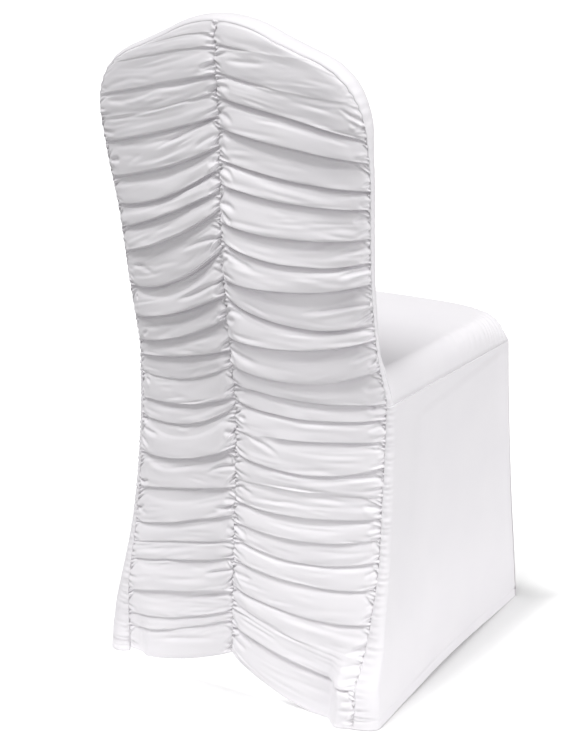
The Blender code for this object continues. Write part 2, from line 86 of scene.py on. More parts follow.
world = bpy.data.worlds.new("pale_room")
world.use_nodes = True
room = world.node_tree
room.nodes["Background"].inputs["Color"].default_value = (1.0, 1.0, 1.0, 1.0)
facing = room.nodes.new("ShaderNodeTexCoord")
upward = room.nodes.new("ShaderNodeSeparateXYZ")
brightness = room.nodes.new("ShaderNodeMapRange")
brightness.inputs["From Min"].default_value = -0.06
brightness.inputs["From Max"].default_value = 0.10
brightness.inputs["To Min"].default_value = LIGHT_BELOW
brightness.inputs["To Max"].default_value = CEILING_LIGHT
room.links.new(facing.outputs["Generated"], upward.inputs["Vector"])
room.links.new(upward.outputs["Z"], brightness.inputs["Value"])
room.links.new(brightness.outputs["Result"], room.nodes["Background"].inputs["Strength"])
bpy.context.scene.world = world

for name, strength, softness, place in LAMPS:
    lamp_data = bpy.data.lights.new(name, "SUN")
    lamp_data.energy = strength
    lamp_data.angle = math.radians(softness)
    lamp = bpy.data.objects.new(name, lamp_data)
    lamp.rotation_euler = Vector(place).to_track_quat("Z", "Y").to_euler()
    bpy.context.scene.collection.objects.link(lamp)
    height = math.degrees(math.asin(Vector(place).normalized().z))
    print(name, "height over the horizon:", round(height), "degrees")

# %% Floor
FOOTPRINT = (0.2325, 0.2607)
# Each floor: radius, how far it lies below the hem, how white it is, and its glow from the middle
# outwards, as pairs of a distance (1 at the edge of the footprint) and a strength
NEAR_FLOOR = (0.50, 0.0016, 0.74, ((0.60, 0.54), (1.20, 0.06)))
# The far floor's glow is painted light: full under the cover hides the shade there, faint along the hem
# keeps the contact shadow, and 0.42 further out pales the lamps' shadows.
FAR_FLOOR = (40.0, 0.0008, 0.92, ((0.82, 1.00), (0.92, 0.06), (1.03, 0.06), (1.30, 0.42)))


def nodes_of(material):
    """The node tree of a material, with a short way to add and to join nodes."""
    tree = material.node_tree

    def add(kind, **values):
        node = tree.nodes.new(kind)
        for name, value in values.items():
            setattr(node, name, value)
        return node

    return tree, add, tree.links.new


def floor_paint(name, white, glows):
    """White floor paint whose glow rises and falls with the distance from the footprint's middle: painted
    light where the camera sees it.
    """
    paint = bpy.data.materials.new(name)
    paint.use_nodes = True
    tree, add, join = nodes_of(paint)
    shader = tree.nodes["Principled BSDF"]
    shader.inputs["Base Color"].default_value = (white, white, white, 1.0)
    shader.inputs["Roughness"].default_value = 0.9
    shader.inputs["Specular IOR Level"].default_value = 0.1
    shader.inputs["Emission Color"].default_value = (1.0, 1.0, 1.0, 1.0)
    where = add("ShaderNodeTexCoord")
    share = add("ShaderNodeVectorMath", operation="DIVIDE")
    share.inputs[1].default_value = (*FOOTPRINT, 1.0)
    positive = add("ShaderNodeVectorMath", operation="ABSOLUTE")
    sides = add("ShaderNodeSeparateXYZ")
    distance = add("ShaderNodeMath", operation="MAXIMUM")
    half = add("ShaderNodeMath", operation="MULTIPLY")
    half.inputs[1].default_value = 0.5
    # Glow by place: on the floor the camera sees, this is painted light over the floor's shade.
    glow = add("ShaderNodeValToRGB")
    glow.color_ramp.interpolation = "EASE"
    for number, (place, strength) in enumerate(glows):
        stop = glow.color_ramp.elements[number] if number < 2 else glow.color_ramp.elements.new(place / 2)
        stop.position = place / 2
        stop.color = (strength, strength, strength, 1.0)
    join(where.outputs["Object"], share.inputs[0])
    join(share.outputs["Vector"], positive.inputs[0])
    join(positive.outputs["Vector"], sides.inputs["Vector"])
    join(sides.outputs["X"], distance.inputs[0])
    join(sides.outputs["Y"], distance.inputs[1])
    join(distance.outputs["Value"], half.inputs[0])
    join(half.outputs["Value"], glow.inputs["Fac"])
    join(glow.outputs["Color"], shader.inputs["Emission Strength"])
    return paint


def floor_disc(name, radius, drop, white, glows):
    """A round floor that lies a little below the hem."""
    turns = np.linspace(0, 2 * np.pi, 65)[:-1]
    rim = np.stack([radius * np.cos(turns), radius * np.sin(turns), np.full(64, -drop)], -1)
    mesh = bpy.data.meshes.new(name)
    mesh.from_pydata(rim.tolist(), [], [tuple(range(64))])
    mesh.materials.append(floor_paint(name + "_paint", white, glows))
    disc = bpy.data.objects.new(name, mesh)
    bpy.context.scene.collection.objects.link(disc)
    return disc


floor_disc("near_floor", *NEAR_FLOOR)
# The camera sees only this floor, and its glow lights nothing: it is painted light.
far_floor = floor_disc("far_floor", *FAR_FLOOR)
far_floor.visible_diffuse = False
far_floor.visible_glossy = False
far_floor.visible_shadow = False
print("floor that throws light back:", NEAR_FLOOR[0], "m round")

# %% [markdown]
# ## The cloth
# Real stretch covers are a knit of polyester and elastane: fine ribs one way, fine rows the other, and a
# faint satin bloom. Both cloths share one recipe of nodes. It reads the cloth's own coordinates, which we
# store in metres on every piece, so the knit turns with the cloth in each fold. A bump is enough here,
# because a rib is only half a millimetre wide.

# %% Knit material
CLOTH_WHITE = (0.884, 0.864, 0.888, 1.0)
CLOTH_SHADE = (0.854, 0.834, 0.865, 1.0)
RIB_WIDTH = 0.0007
ROW_WIDTH = 0.0006
RIB_HEIGHT = 0.00006


def knit_cloth(name, roughness, bloom, rib_strength):
    """Stretch knit: ribs, rows, slight slubs and patches, and a satin bloom."""
    material = bpy.data.materials.new(name)
    material.use_nodes = True
    tree, add, join = nodes_of(material)
    shader = tree.nodes["Principled BSDF"]
    place = add("ShaderNodeUVMap", uv_map="cloth")
    ribs = add("ShaderNodeTexWave", wave_type="BANDS", bands_direction="X", wave_profile="SIN")
    rows = add("ShaderNodeTexWave", wave_type="BANDS", bands_direction="Y", wave_profile="SIN")
    for wave, width in ((ribs, RIB_WIDTH), (rows, ROW_WIDTH)):
        wave.inputs["Scale"].default_value = 0.314 / width
        wave.inputs["Distortion"].default_value = 1.2
        wave.inputs["Detail"].default_value = 1.0
        wave.inputs["Detail Scale"].default_value = 0.6
        join(place.outputs["UV"], wave.inputs["Vector"])
    slubs = add("ShaderNodeTexNoise", noise_dimensions="2D")
    slubs.inputs["Scale"].default_value = 620.0
    slubs.inputs["Detail"].default_value = 3.0
    join(place.outputs["UV"], slubs.inputs["Vector"])
    patches = add("ShaderNodeTexNoise", noise_dimensions="2D")
    patches.inputs["Scale"].default_value = 14.0
    patches.inputs["Detail"].default_value = 2.0
    join(place.outputs["UV"], patches.inputs["Vector"])

    knit = add("ShaderNodeMath", operation="MULTIPLY")
    join(ribs.outputs["Fac"], knit.inputs[0])
    join(rows.outputs["Fac"], knit.inputs[1])
    uneven = add("ShaderNodeMath", operation="ADD")
    join(knit.outputs[0], uneven.inputs[0])
    join(slubs.outputs["Fac"], uneven.inputs[1])
    bump = add("ShaderNodeBump")
    bump.inputs["Strength"].default_value = rib_strength
    bump.inputs["Distance"].default_value = RIB_HEIGHT
    join(uneven.outputs[0], bump.inputs["Height"])
    join(bump.outputs["Normal"], shader.inputs["Normal"])

    tint = add("ShaderNodeMix", data_type="RGBA")
    tint.inputs["A"].default_value = CLOTH_SHADE
    tint.inputs["B"].default_value = CLOTH_WHITE
    join(patches.outputs["Fac"], tint.inputs["Factor"])
    join(tint.outputs["Result"], shader.inputs["Base Color"])
    gloss = add("ShaderNodeMapRange")
    gloss.inputs["To Min"].default_value = roughness - 0.05
    gloss.inputs["To Max"].default_value = roughness + 0.06
    join(slubs.outputs["Fac"], gloss.inputs["Value"])
    join(gloss.outputs["Result"], shader.inputs["Roughness"])
    shader.inputs["Sheen Weight"].default_value = bloom
    shader.inputs["Sheen Roughness"].default_value = 0.4
    shader.inputs["Specular IOR Level"].default_value = 0.35
    return material


ruched_knit = knit_cloth("ruched_knit", roughness=0.52, bloom=0.20, rib_strength=0.35)
smooth_knit = knit_cloth("smooth_knit", roughness=0.58, bloom=0.15, rib_strength=0.30)
print("rib width:", RIB_WIDTH * 1000, "mm")

# %% [markdown]
# ## The outline
# The cover takes its shape from the chair, so its outline comes first: the side seams, the middle seam,
# the feet and the corners. Each is a short table read from the floor up, and a smooth curve joins its
# rows. Depths are counted from the rear corner of the seat, so one number moves them all to the middle
# of the footprint at the end.

# %% Tables of the outline
DEPTH_TO_MIDDLE = 0.1793
SEAT_SEAM = 0.430
SEAT_TOP = 0.474
CROWN = 0.921
SHOULDER = 0.901
WIDEST = 0.780

def in_metres(columns, rows):
    """The same rows with their first columns divided by a thousand."""
    return tuple(tuple(value / 1000 for value in row[:columns]) + row[columns:] for row in rows)


# All tables are in millimetres. The side seam: height, half width, depth
SIDE_SEAM = in_metres(3, (
    (0, 183.7, -49.3), (50, 192.5, -39),
    (100, 198.4, -28.1), (200, 200.3, -1.6),
    (300, 198, 11.5), (400, 197.2, 18.5),
    (430, 198.5, 18), (460, 195.5, 12.5),
    (500, 193, 1.2), (580, 192.6, -15.5),
    (660, 195.2, -26.8), (740, 201.2, -41.1),
    (790, 201.4, -51.5), (822, 195, -57.6),
    (847.5, 181, -62.4), (861, 167.5, -65),
    (873, 150, -67.3), (887, 114, -69.9),
    (901, 78, -72.6),
))

# The feet of the rear legs push the side seams outwards and back: height, out, back
RIGHT_FOOT = in_metres(3, (
    (0, 18, 19), (35, 13, 24),
    (55, 6.5, 21.5), (70, 3.5, 13),
    (90, 1, 4), (110, 0, 0),
))
LEFT_FOOT = in_metres(3, (
    (0, 8, -12), (35, 5, -9),
    (70, 1, -3), (110, 0, 0),
))
FOOT_STARTS = 0.76
FOOT_FULL = 0.89

# The middle seam: height, depth
MIDDLE_SEAM = in_metres(2, (
    (0, -56), (100, -52.6), (200, -48), (300, -41.7),
    (400, -38.5), (480, -47.5), (560, -60), (640, -68),
    (720, -69), (800, -70.5), (880, -77), (921, -76.4),
))


def curve(rows, column, at):
    """A smooth curve through one column of a table whose first column rises."""
    xs = np.array([row[0] for row in rows])
    ys = np.array([row[column] for row in rows])
    at = np.clip(np.asarray(at, float), xs[0], xs[-1])
    steps = np.diff(ys) / np.diff(xs)
    slopes = np.concatenate([steps[:1], (steps[:-1] + steps[1:]) / 2, steps[-1:]])
    turns = np.concatenate([[False], steps[:-1] * steps[1:] <= 0, [False]])
    slopes[turns] = 0.0
    i = np.clip(np.searchsorted(xs, at, side="right") - 1, 0, len(xs) - 2)
    width = xs[i + 1] - xs[i]
    t = (at - xs[i]) / width
    start = ys[i] * (1 + 2 * t) * (1 - t) ** 2 + slopes[i] * width * t * (1 - t) ** 2
    end = ys[i + 1] * t**2 * (3 - 2 * t) - slopes[i + 1] * width * t**2 * (1 - t)
    return start + end


def foot_table(side):
    return RIGHT_FOOT if side > 0 else LEFT_FOOT


def seam_half_width(height, side):
    """Half width of the ruched back at its side seam."""
    return curve(SIDE_SEAM, 1, height) + curve(foot_table(side), 1, height)


def foot_back(height, side):
    """How far the foot of the rear leg pushes the side seam back."""
    return curve(foot_table(side), 2, height)


print("half width at the seat:", round(float(seam_half_width(SEAT_SEAM, 1.0)), 4))

# %% [markdown]
# ## From a grid to a sheet of cloth
# Every piece ends as one mesh: rows and columns of points joined into four-cornered faces, with the
# cloth's own coordinates stored beside them. The knit is half a millimetre thick, which no view shows, so
# one layer with its edges turned in looks right and stays light.

# %% Grid helpers
TURN_IN = 0.0035


def unit(vectors):
    """The same directions with a length of one."""
    return vectors / np.maximum(np.linalg.norm(vectors, axis=-1, keepdims=True), 1e-9)


def outward_normals(grid, away):
    """Unit normals of a grid, on the side that points away from a place inside."""
    normals = unit(np.cross(np.gradient(grid, axis=1), np.gradient(grid, axis=0)))
    facing = ((grid - away) * normals).sum(-1).mean()
    return normals if facing > 0 else -normals


def cloth_lengths(grid):
    """Coordinates on the flat cloth, in metres: along the rows, and down the columns."""
    along = np.linalg.norm(np.diff(grid, axis=1), axis=-1)
    down = np.linalg.norm(np.diff(grid, axis=0), axis=-1)
    u = np.pad(np.cumsum(along, axis=1), ((0, 0), (1, 0)))
    v = np.pad(np.cumsum(down, axis=0), ((1, 0), (0, 0)))
    u = u - u.mean(axis=1, keepdims=True)
    return np.stack([u, np.broadcast_to(v.mean(axis=1, keepdims=True), u.shape)], -1)


def grid_quads(rows, columns):
    """The four-cornered faces of a grid whose points are numbered row by row."""
    corner = (np.arange(rows - 1)[:, None] * columns + np.arange(columns - 1)).reshape(-1)
    return np.stack([corner, corner + 1, corner + columns + 1, corner + columns], 1)


def cloth_mesh(name, points, quads, lengths, inside, material):
    """One piece of cloth from its points, its faces and its own coordinates."""
    points = points - [0.0, DEPTH_TO_MIDDLE, 0.0]
    a, b, c, d = (points[quads[:, i]] for i in range(4))
    facing = np.cross(c - a, d - b)
    centre = (a + b + c + d) / 4
    if ((centre - (np.array(inside) - [0.0, DEPTH_TO_MIDDLE, 0.0])) * facing).sum() < 0:
        quads = quads[:, ::-1]
    mesh = bpy.data.meshes.new(name)
    mesh.from_pydata(points.tolist(), [], quads.tolist())
    flat = mesh.uv_layers.new(name="cloth")
    flat.data.foreach_set("uv", lengths[quads.reshape(-1)].astype(np.float32).reshape(-1))
    mesh.shade_smooth()
    mesh.materials.append(material)
    piece = bpy.data.objects.new(name, mesh)
    bpy.context.scene.collection.objects.link(piece)
    print(name, "faces:", len(quads))
    return piece


def cloth_grid(name, grid, inside, material):
    """One piece of cloth from a grid of points."""
    rows, columns = grid.shape[:2]
    lengths = cloth_lengths(grid).reshape(-1, 2)
    return cloth_mesh(name, grid.reshape(-1, 3), grid_quads(rows, columns), lengths, inside, material)


def wander(seed, rows, columns, shape):
    """Smooth random unevenness from -1 to 1 on a grid, from a coarse grid of seeded numbers."""
    coarse = np.random.default_rng(seed).uniform(-1, 1, (rows + 3, columns + 3))
    r = np.linspace(1, rows, shape[0])
    c = np.linspace(1, columns, shape[1])

    def weights(t):
        return np.stack([(1 - t) ** 3, 3 * t**3 - 6 * t**2 + 4, -3 * t**3 + 3 * t**2 + 3 * t + 1, t**3]) / 6

    ri = np.minimum(r.astype(int), rows - 1)
    ci = np.minimum(c.astype(int), columns - 1)
    wr = weights(r - ri)
    wc = weights(c - ci)
    blended = sum(
        wr[i][:, None] * wc[j][None, :] * coarse[np.ix_(ri - 1 + i, ci - 1 + j)]
        for i in range(4)
        for j in range(4)
    )
    return blended * 1.8


def eased(value, low, high):
    """A smooth step from 0 at low to 1 at high."""
    t = np.clip((value - low) / (high - low), 0.0, 1.0)
    return t * t * (3 - 2 * t)


def framed(grid, left, right, above, below):
    """A grid with a column added at each side, a row above it and rows below it, as shifts of its edges."""
    grid = np.concatenate([grid[:, :1] + left, grid, grid[:, -1:] + right], axis=1)
    return np.concatenate([grid[:1] + above, grid, *(grid[-1:] + shift for shift in below)], axis=0)


def furrow(off, ridge, beside, width):
    """Section across a fine crease: a furrow, less the ridge that it raises beside it."""
    return np.exp(-(off**2)) - ridge * np.exp(-(((off - beside) / width) ** 2))


# %% [markdown]
# ## The ruched halves of the back
# A gathered panel has four kinds of folds. The big swags run from seam to seam: under each crease lies a
# hollow, then the cloth swells out, stands out most near its lower end and droops over the next crease.
# Short creases start at a seam and die out between them. Small tucks fan out where the thread draws the
# cloth up, and fine streaks lie along the swags. The creases are placed from tables, because no
# two are alike and some fade on their way. Seeded numbers scatter the tucks and streaks.

# %% Creases of the swags
# Height at the middle seam, half way and at the side seam, and how far the swag below stands out, in
# millimetres. Then how much of the swag is a hollow under the crease, and how sharp the crease is
RIGHT_CREASES = in_metres(4, (
    (921, 916, 901, 3, 0.00, 0.10), (893, 887, 880, 4, 0.30, 0.35),
    (859, 841, 832, 6, 0.25, 0.45), (828, 807, 784, 7, 0.30, 0.80),
    (790, 769, 757, 6, 0.42, 0.75), (749, 728, 721, 8, 0.30, 1.00),
    (719, 699, 698, 9, 0.22, 1.00), (670, 651, 660, 7, 0.30, 1.00),
    (646, 617, 629, 10, 0.25, 1.00), (593, 583, 600, 7, 0.40, 0.90),
    (571, 533, 546, 11, 0.18, 1.00), (513, 502, 524, 9, 0.35, 0.80),
    (476, 455, 480, 7, 0.30, 0.60), (447, 429, 431, 6, 0.40, 0.85),
    (420, 404, 411, 7, 0.18, 1.00), (380, 373, 380, 8, 0.15, 0.80),
    (349, 326, 344, 8, 0.10, 1.00), (309, 303, 302, 6, 0.35, 0.30),
    (277, 266, 275, 7, 0.45, 0.60), (248, 234, 246, 6, 0.25, 0.50),
    (226, 202, 216, 7, 0.20, 0.60), (197, 173, 178, 8, 0.25, 0.80),
    (156, 130, 131, 6, 0.22, 0.80), (136, 98, 90, 8, 0.20, 0.25),
    (101, 64, 50, 8, 0.15, 0.70), (55, 5, 0, 0, 0.00, 0.00),
))
LEFT_CREASES = in_metres(4, (
    (921, 916, 901, 2, 0.00, 0.10), (907, 900, 884, 4, 0.20, 0.20),
    (890, 878, 860, 6, 0.35, 0.35), (856, 835, 816, 6, 0.18, 0.52),
    (834, 806, 786, 6, 0.20, 0.35), (803, 774, 751, 8, 0.35, 1.00),
    (765, 727, 703, 8, 0.42, 1.00), (737, 688, 666, 9, 0.30, 1.00),
    (708, 665, 632, 9, 0.40, 1.00), (684, 631, 600, 7, 0.35, 0.80),
    (631, 570, 549, 11, 0.40, 1.00), (569, 528, 501, 9, 0.38, 1.00),
    (537, 491, 465, 8, 0.25, 0.60), (492, 463, 442, 6, 0.35, 1.00),
    (469, 430, 416, 9, 0.15, 0.45), (426, 392, 378, 6, 0.35, 0.70),
    (412, 362, 354, 11, 0.45, 0.90), (353, 312, 297, 10, 0.42, 0.80),
    (296, 268, 244, 9, 0.40, 1.00), (258, 221, 190, 7, 0.38, 1.00),
    (220, 191, 163, 6, 0.30, 0.40), (195, 165, 139, 9, 0.38, 1.00),
    (146, 120, 93, 7, 0.42, 1.00), (118, 83, 60, 6, 0.20, 0.80),
    (104, 66, 38, 7, 0.20, 0.70), (55, 18, 5, 0, 0.00, 0.00),
))

# A swag in section, from the end of its hollow down to the next crease: share of the way and of its depth
SWAG_SECTION = (
    (0.00, 0.00), (0.05, 0.14), (0.12, 0.34), (0.24, 0.54),
    (0.42, 0.74), (0.62, 0.89), (0.80, 0.98), (0.90, 1.00),
    (0.955, 0.90), (0.985, 0.55), (1.00, 0.00),
)

# Share of a swag's depth from the middle seam to the side seam
SWAG_REACH = (
    (0.00, 0.00), (0.03, 0.50), (0.07, 0.82), (0.14, 1.00),
    (0.28, 0.95), (0.44, 0.88), (0.60, 0.86), (0.76, 0.88),
    (0.88, 0.82), (0.94, 0.62), (0.975, 0.36), (1.00, 0.00),
)
TENT_POWER = 1.15
ROW_HEIGHT = 0.0011
OUTLINE_MARGIN = 0.0006
SWAG_DEPTH = {1.0: 1.42, -1.0: 1.02}
HOLLOW_FLOOR = 0.18
CREASE_GROOVE = {1.0: 0.0056, -1.0: 0.0036}
CREASE_WIDTH = 0.0015
DROOP = 0.40
# Creases that fade along their way: crease, where it is gone and where it is whole
RIGHT_FADES = ((1, 0.40, 0.12), (2, 0.46, 0.18), (15, 0.15, 0.38), (23, 0.52, 0.24))
LEFT_FADES = ((1, 0.95, 0.30), (2, 1.25, 0.30), (4, 0.42, 0.14))
print("creases:", len(RIGHT_CREASES), "right,", len(LEFT_CREASES), "left")

# %% Short creases between them
# Where each begins, its middle and its end: thousandths of the width, and height in millimetres. Then
# its depth in millimetres
RIGHT_SHORT = in_metres(7, (
    (75, 873, 250, 872, 463, 873, 2.2), (13, 851, 50, 850, 100, 849, 2),
    (13, 842, 75, 840, 125, 837, 2.4), (0, 808, 75, 802, 138, 794, 2.6),
    (25, 782, 62, 777, 113, 772, 2.6), (13, 765, 50, 762, 75, 757, 2.2),
    (25, 735, 88, 730, 138, 721, 3.2), (863, 716, 950, 717, 1000, 720, 3.4),
    (13, 692, 88, 688, 150, 681, 3.4), (25, 683, 75, 676, 125, 666, 2.6),
    (888, 680, 963, 685, 1000, 689, 3.2), (537, 641, 663, 644, 775, 648, 3),
    (738, 631, 863, 639, 1000, 649, 3.8), (800, 604, 900, 612, 1000, 621, 3.8),
    (25, 629, 138, 616, 263, 606, 3.8), (13, 615, 50, 617, 100, 619, 2),
    (13, 589, 150, 577, 300, 572, 4.4), (513, 551, 750, 560, 988, 573, 5),
    (25, 547, 100, 545, 163, 538, 2.2), (13, 537, 62, 535, 100, 535, 2.6),
    (13, 494, 113, 483, 225, 476, 3.2), (825, 488, 913, 497, 1000, 506, 3.2),
    (938, 490, 963, 492, 988, 495, 3.2), (863, 450, 938, 453, 1000, 458, 2.8),
    (850, 428, 888, 427, 938, 421, 3.4), (38, 399, 62, 397, 100, 396, 3.2),
    (75, 377, 200, 364, 338, 345, 3), (725, 326, 863, 328, 1000, 331, 3.4),
    (875, 289, 938, 289, 988, 288, 3.4), (913, 256, 963, 259, 1000, 261, 3.2),
    (938, 367, 963, 370, 988, 372, 2.8), (888, 393, 938, 398, 988, 403, 2.8),
    (25, 301, 88, 295, 150, 290, 2.2), (925, 225, 963, 227, 1000, 230, 2.4),
    (913, 192, 950, 198, 988, 203, 2.4), (950, 155, 988, 159, 1000, 162, 2.2),
    (875, 92, 950, 97, 1000, 101, 3), (0, 93, 100, 82, 188, 68, 2.4),
    (0, 81, 62, 72, 138, 63, 2.2), (0, 176, 75, 171, 163, 167, 2.2),
    (0, 243, 50, 236, 113, 226, 2.2), (850, 74, 925, 77, 1000, 82, 3.2),
    (880, 60, 940, 63, 1000, 68, 3.6), (860, 46, 930, 50, 1000, 54, 3),
    (900, 34, 950, 36, 1000, 40, 3.4), (880, 22, 940, 24, 1000, 27, 2.6),
    (920, 11, 960, 12, 1000, 14, 2.4), (870, 822, 940, 815, 1000, 808, 3.6),
    (900, 809, 950, 804, 1000, 799, 3),
))
LEFT_SHORT = in_metres(7, (
    (0, 869, 62, 865, 125, 861, 3.2), (0, 854, 300, 839, 537, 832, 2.8),
    (700, 809, 850, 809, 950, 808, 1.6), (0, 838, 38, 834, 75, 831, 3.2),
    (13, 802, 250, 778, 562, 747, 3.2), (863, 729, 913, 728, 963, 727, 3.4),
    (0, 782, 100, 770, 200, 758, 2.8), (0, 750, 38, 745, 88, 740, 3.2),
    (0, 724, 38, 722, 75, 720, 3), (0, 648, 188, 634, 400, 615, 4.6),
    (663, 575, 800, 579, 938, 579, 2.4), (900, 530, 913, 532, 938, 534, 3),
    (0, 591, 225, 566, 488, 543, 4.4), (0, 575, 38, 573, 88, 571, 2.4),
    (0, 545, 50, 542, 88, 540, 2.8), (675, 497, 812, 491, 950, 484, 2.8),
    (825, 485, 875, 481, 925, 477, 3), (875, 404, 913, 406, 950, 408, 3),
    (0, 443, 38, 436, 88, 427, 3.2), (788, 330, 888, 330, 975, 333, 3.2),
    (913, 342, 950, 345, 1000, 348, 3), (875, 312, 938, 315, 988, 320, 3),
    (0, 375, 38, 373, 100, 370, 4), (0, 326, 138, 316, 263, 303, 4.2),
    (863, 259, 925, 256, 975, 254, 3), (900, 218, 950, 215, 1000, 211, 3.6),
    (0, 268, 100, 262, 188, 256, 4), (0, 278, 38, 276, 100, 272, 3),
    (0, 236, 38, 235, 75, 233, 2.4), (0, 178, 138, 166, 275, 155, 4.2),
    (0, 140, 238, 125, 513, 103, 2.6), (50, 74, 375, 55, 750, 36, 2),
    (0, 67, 38, 66, 62, 65, 2.2), (0, 60, 38, 59, 88, 57, 2.2),
    (0, 155, 50, 150, 88, 145, 2.6),
))
SHORT_WIDTH = 0.0017


def short_depths(creases, heights, stations):
    """How far the short creases push the cloth in, for the whole grid."""
    push = np.zeros_like(heights)
    for s0, z0, s1, z1, s2, z2, depth in creases:
        columns = np.nonzero((stations >= s0) & (stations <= s2))[0]
        s = stations[columns]
        line = (
            z0 * (s - s1) * (s - s2) / ((s0 - s1) * (s0 - s2))
            + z1 * (s - s0) * (s - s2) / ((s1 - s0) * (s1 - s2))
            + z2 * (s - s0) * (s - s1) / ((s2 - s0) * (s2 - s1))
        )
        fade = 0.35 * (s2 - s0) + 0.01
        start = 1.0 if s0 < 0.04 else eased(s, s0, s0 + fade)
        end = 1.0 if s2 > 0.96 else eased(s2 - s, 0.0, fade)
        width = SHORT_WIDTH * (1 + 0.8 * np.sin(np.pi * (s - s0) / (s2 - s0)))
        d = (heights[:, columns] - line) / width
        ridge_above = 0.15 * np.exp(-(((d - 2.0) / 1.8) ** 2))
        push[:, columns] += depth * start * end * (furrow(d, 0.30, -1.9, 1.6) - ridge_above)
    return push


print("short creases:", len(RIGHT_SHORT), "right,", len(LEFT_SHORT), "left")

# %% Tucks where the thread draws the cloth up
TUCK_SPACING = (0.0050, 0.0086)
MIDDLE_TUCKS = {"reach": (0.06, 0.20), "depth": (0.0020, 0.0050), "calm_above": 1.0}
SIDE_TUCKS = {"reach": (0.05, 0.16), "depth": (0.0020, 0.0048), "calm_above": 0.81}
TUCK_WIDTH = (0.0015, 0.0018)
STREAKS = 320
STREAK_REACH = (0.08, 0.30)
STREAK_DRIFT = 0.10
STREAK_DEPTH = (0.0003, 0.0012)
STREAK_WIDTH = (0.0014, 0.0034)


def tuck_places(seed, seam_rows, reach, depth, calm_above):
    """Tucks down one seam: the row each starts from, its reach as a share of the width, its depth."""
    random = np.random.default_rng(seed)
    places = []
    height = seam_rows[0][1] - 0.004
    rows = np.array([row for row, _ in seam_rows])
    heights = np.array([z for _, z in seam_rows])
    while height > heights[-1] + 0.004:
        row = np.interp(-height, -heights, rows)
        long = random.random() ** 2
        places.append((
            row,
            reach[0] + (reach[1] - reach[0]) * long,
            random.uniform(*depth) * (0.25 + 0.75 * eased(calm_above - height, -0.01, 0.02)),
            random.uniform(0.35, 0.85),
        ))
        height -= random.uniform(*TUCK_SPACING)
    return places


def tuck_depths(places, rows, heights, from_seam):
    """How far the tucks of one seam push the cloth in, for the whole grid."""
    push = np.zeros_like(heights)
    for row, reach, depth, run in places:
        t = from_seam / reach
        columns = np.nonzero(t < 1.0)[0]
        target = round(row)
        for c in columns:
            centre_row = row + (target - row) * run * t[c] ** 0.8
            centre = np.interp(centre_row, rows, heights[:, c])
            width = TUCK_WIDTH[0] + TUCK_WIDTH[1] * t[c]
            d = (heights[:, c] - centre) / width
            strength = depth * min(t[c] / 0.07, 1.0) * (1 - t[c]) ** 1.4
            push[:, c] += strength * furrow(d, 0.6, 1.7, 1.2)
    return push


def streak_depths(seed, rows, heights, stations):
    """Fine creases of the stretched knit: they run along the swags and fade at both ends."""
    random = np.random.default_rng(seed)
    push = np.zeros_like(heights)
    for _ in range(STREAKS):
        row = random.uniform(0.5, rows[-1] - 0.2)
        middle, half = random.uniform(0.1, 0.9), random.uniform(*STREAK_REACH)
        drift, depth = random.uniform(-STREAK_DRIFT, STREAK_DRIFT), random.uniform(*STREAK_DEPTH)
        width = random.uniform(*STREAK_WIDTH)
        t = (stations - middle) / half
        for c in np.nonzero(np.abs(t) < 1.0)[0]:
            centre = np.interp(row + drift * t[c], rows, heights[:, c])
            d = (heights[:, c] - centre) / width
            push[:, c] += depth * (1 - t[c] ** 2) ** 2 * furrow(d, 0.6, -1.8, 1.4)
    return push


print("tucks per seam: about", round(CROWN / np.mean(TUCK_SPACING)))

# %% Seams and rows of a ruched half
SEAM_ZIGZAG = 0.0013
ZIGZAG_STEP = 0.021
WOBBLE = 0.0008
WOBBLE_STEP = 0.0131


def outline_height(across):
    """Height of the seam over the crown and the shoulders, at a distance from the middle."""
    shoulder_width = SIDE_SEAM[-1][1]
    rising = np.linspace(SHOULDER, WIDEST, 60)
    shoulder = np.interp(across, curve(SIDE_SEAM, 1, rising), rising)
    crown = CROWN - (CROWN - SHOULDER) * (across / shoulder_width) ** 2
    return np.where(across < shoulder_width, crown, shoulder)


def crease_lines(creases, stations):
    """Heights of all creases at all stations: a curve through the three heights of each."""
    middle, half, side = (np.array([row[i] for row in creases])[:, None] for i in range(3))
    return (
        middle
        + stations * (4 * half - 3 * middle - side)
        + stations**2 * (2 * middle + 2 * side - 4 * half)
    )


def wavering_lines(creases, stations, seed):
    """The same heights with the small wavering of real creases."""
    lines = crease_lines(creases, stations)
    waver = 0.0015 * wander(seed + 1, len(creases), 5, lines.shape)
    waver = waver + 0.0007 * wander(seed + 10, len(creases), 13, lines.shape)
    lines[1:-1] += (waver * np.sin(np.pi * stations))[1:-1]
    return lines


def grid_rows(creases):
    """The swag that each row of the grid lies in and its share of the way down, crowded at the creases."""
    swags, shares = [], []
    for k, (upper, lower) in enumerate(zip(creases, creases[1:])):
        steps = max(12, round((sum(upper[:3]) - sum(lower[:3])) / 3 / ROW_HEIGHT))
        t = np.arange(steps) / steps
        swags += [k] * steps
        shares += list(t - 0.45 * np.sin(2 * np.pi * t) / (2 * np.pi))
    return np.array(swags + [len(creases) - 2]), np.array(shares + [1.0])


def side_wobble(height):
    """How the puckers make the side seam wander outwards and inwards."""
    fade = eased(SHOULDER - 0.004 - height, 0.0, 0.03)
    return WOBBLE * fade * np.sin(2 * np.pi * height / WOBBLE_STEP + 1.7 * np.sin(height * 53))


print("rows of the grid:", len(grid_rows(RIGHT_CREASES)[0]))

# %% Relief of the swags
def sharpness(creases, fades, stations, seed):
    """How sharp each crease is at each station."""
    sharps = np.array([row[5] for row in creases])[:, None]
    uneven = 1 + 0.3 * wander(seed + 8, len(creases), 5, (len(creases), len(stations)))
    sharp = np.clip(sharps * uneven, 0.0, 1.2)
    for crease, gone, whole in fades:
        sharp[crease] *= eased((stations - gone) / (whole - gone), 0.0, 1.0)
    return sharp


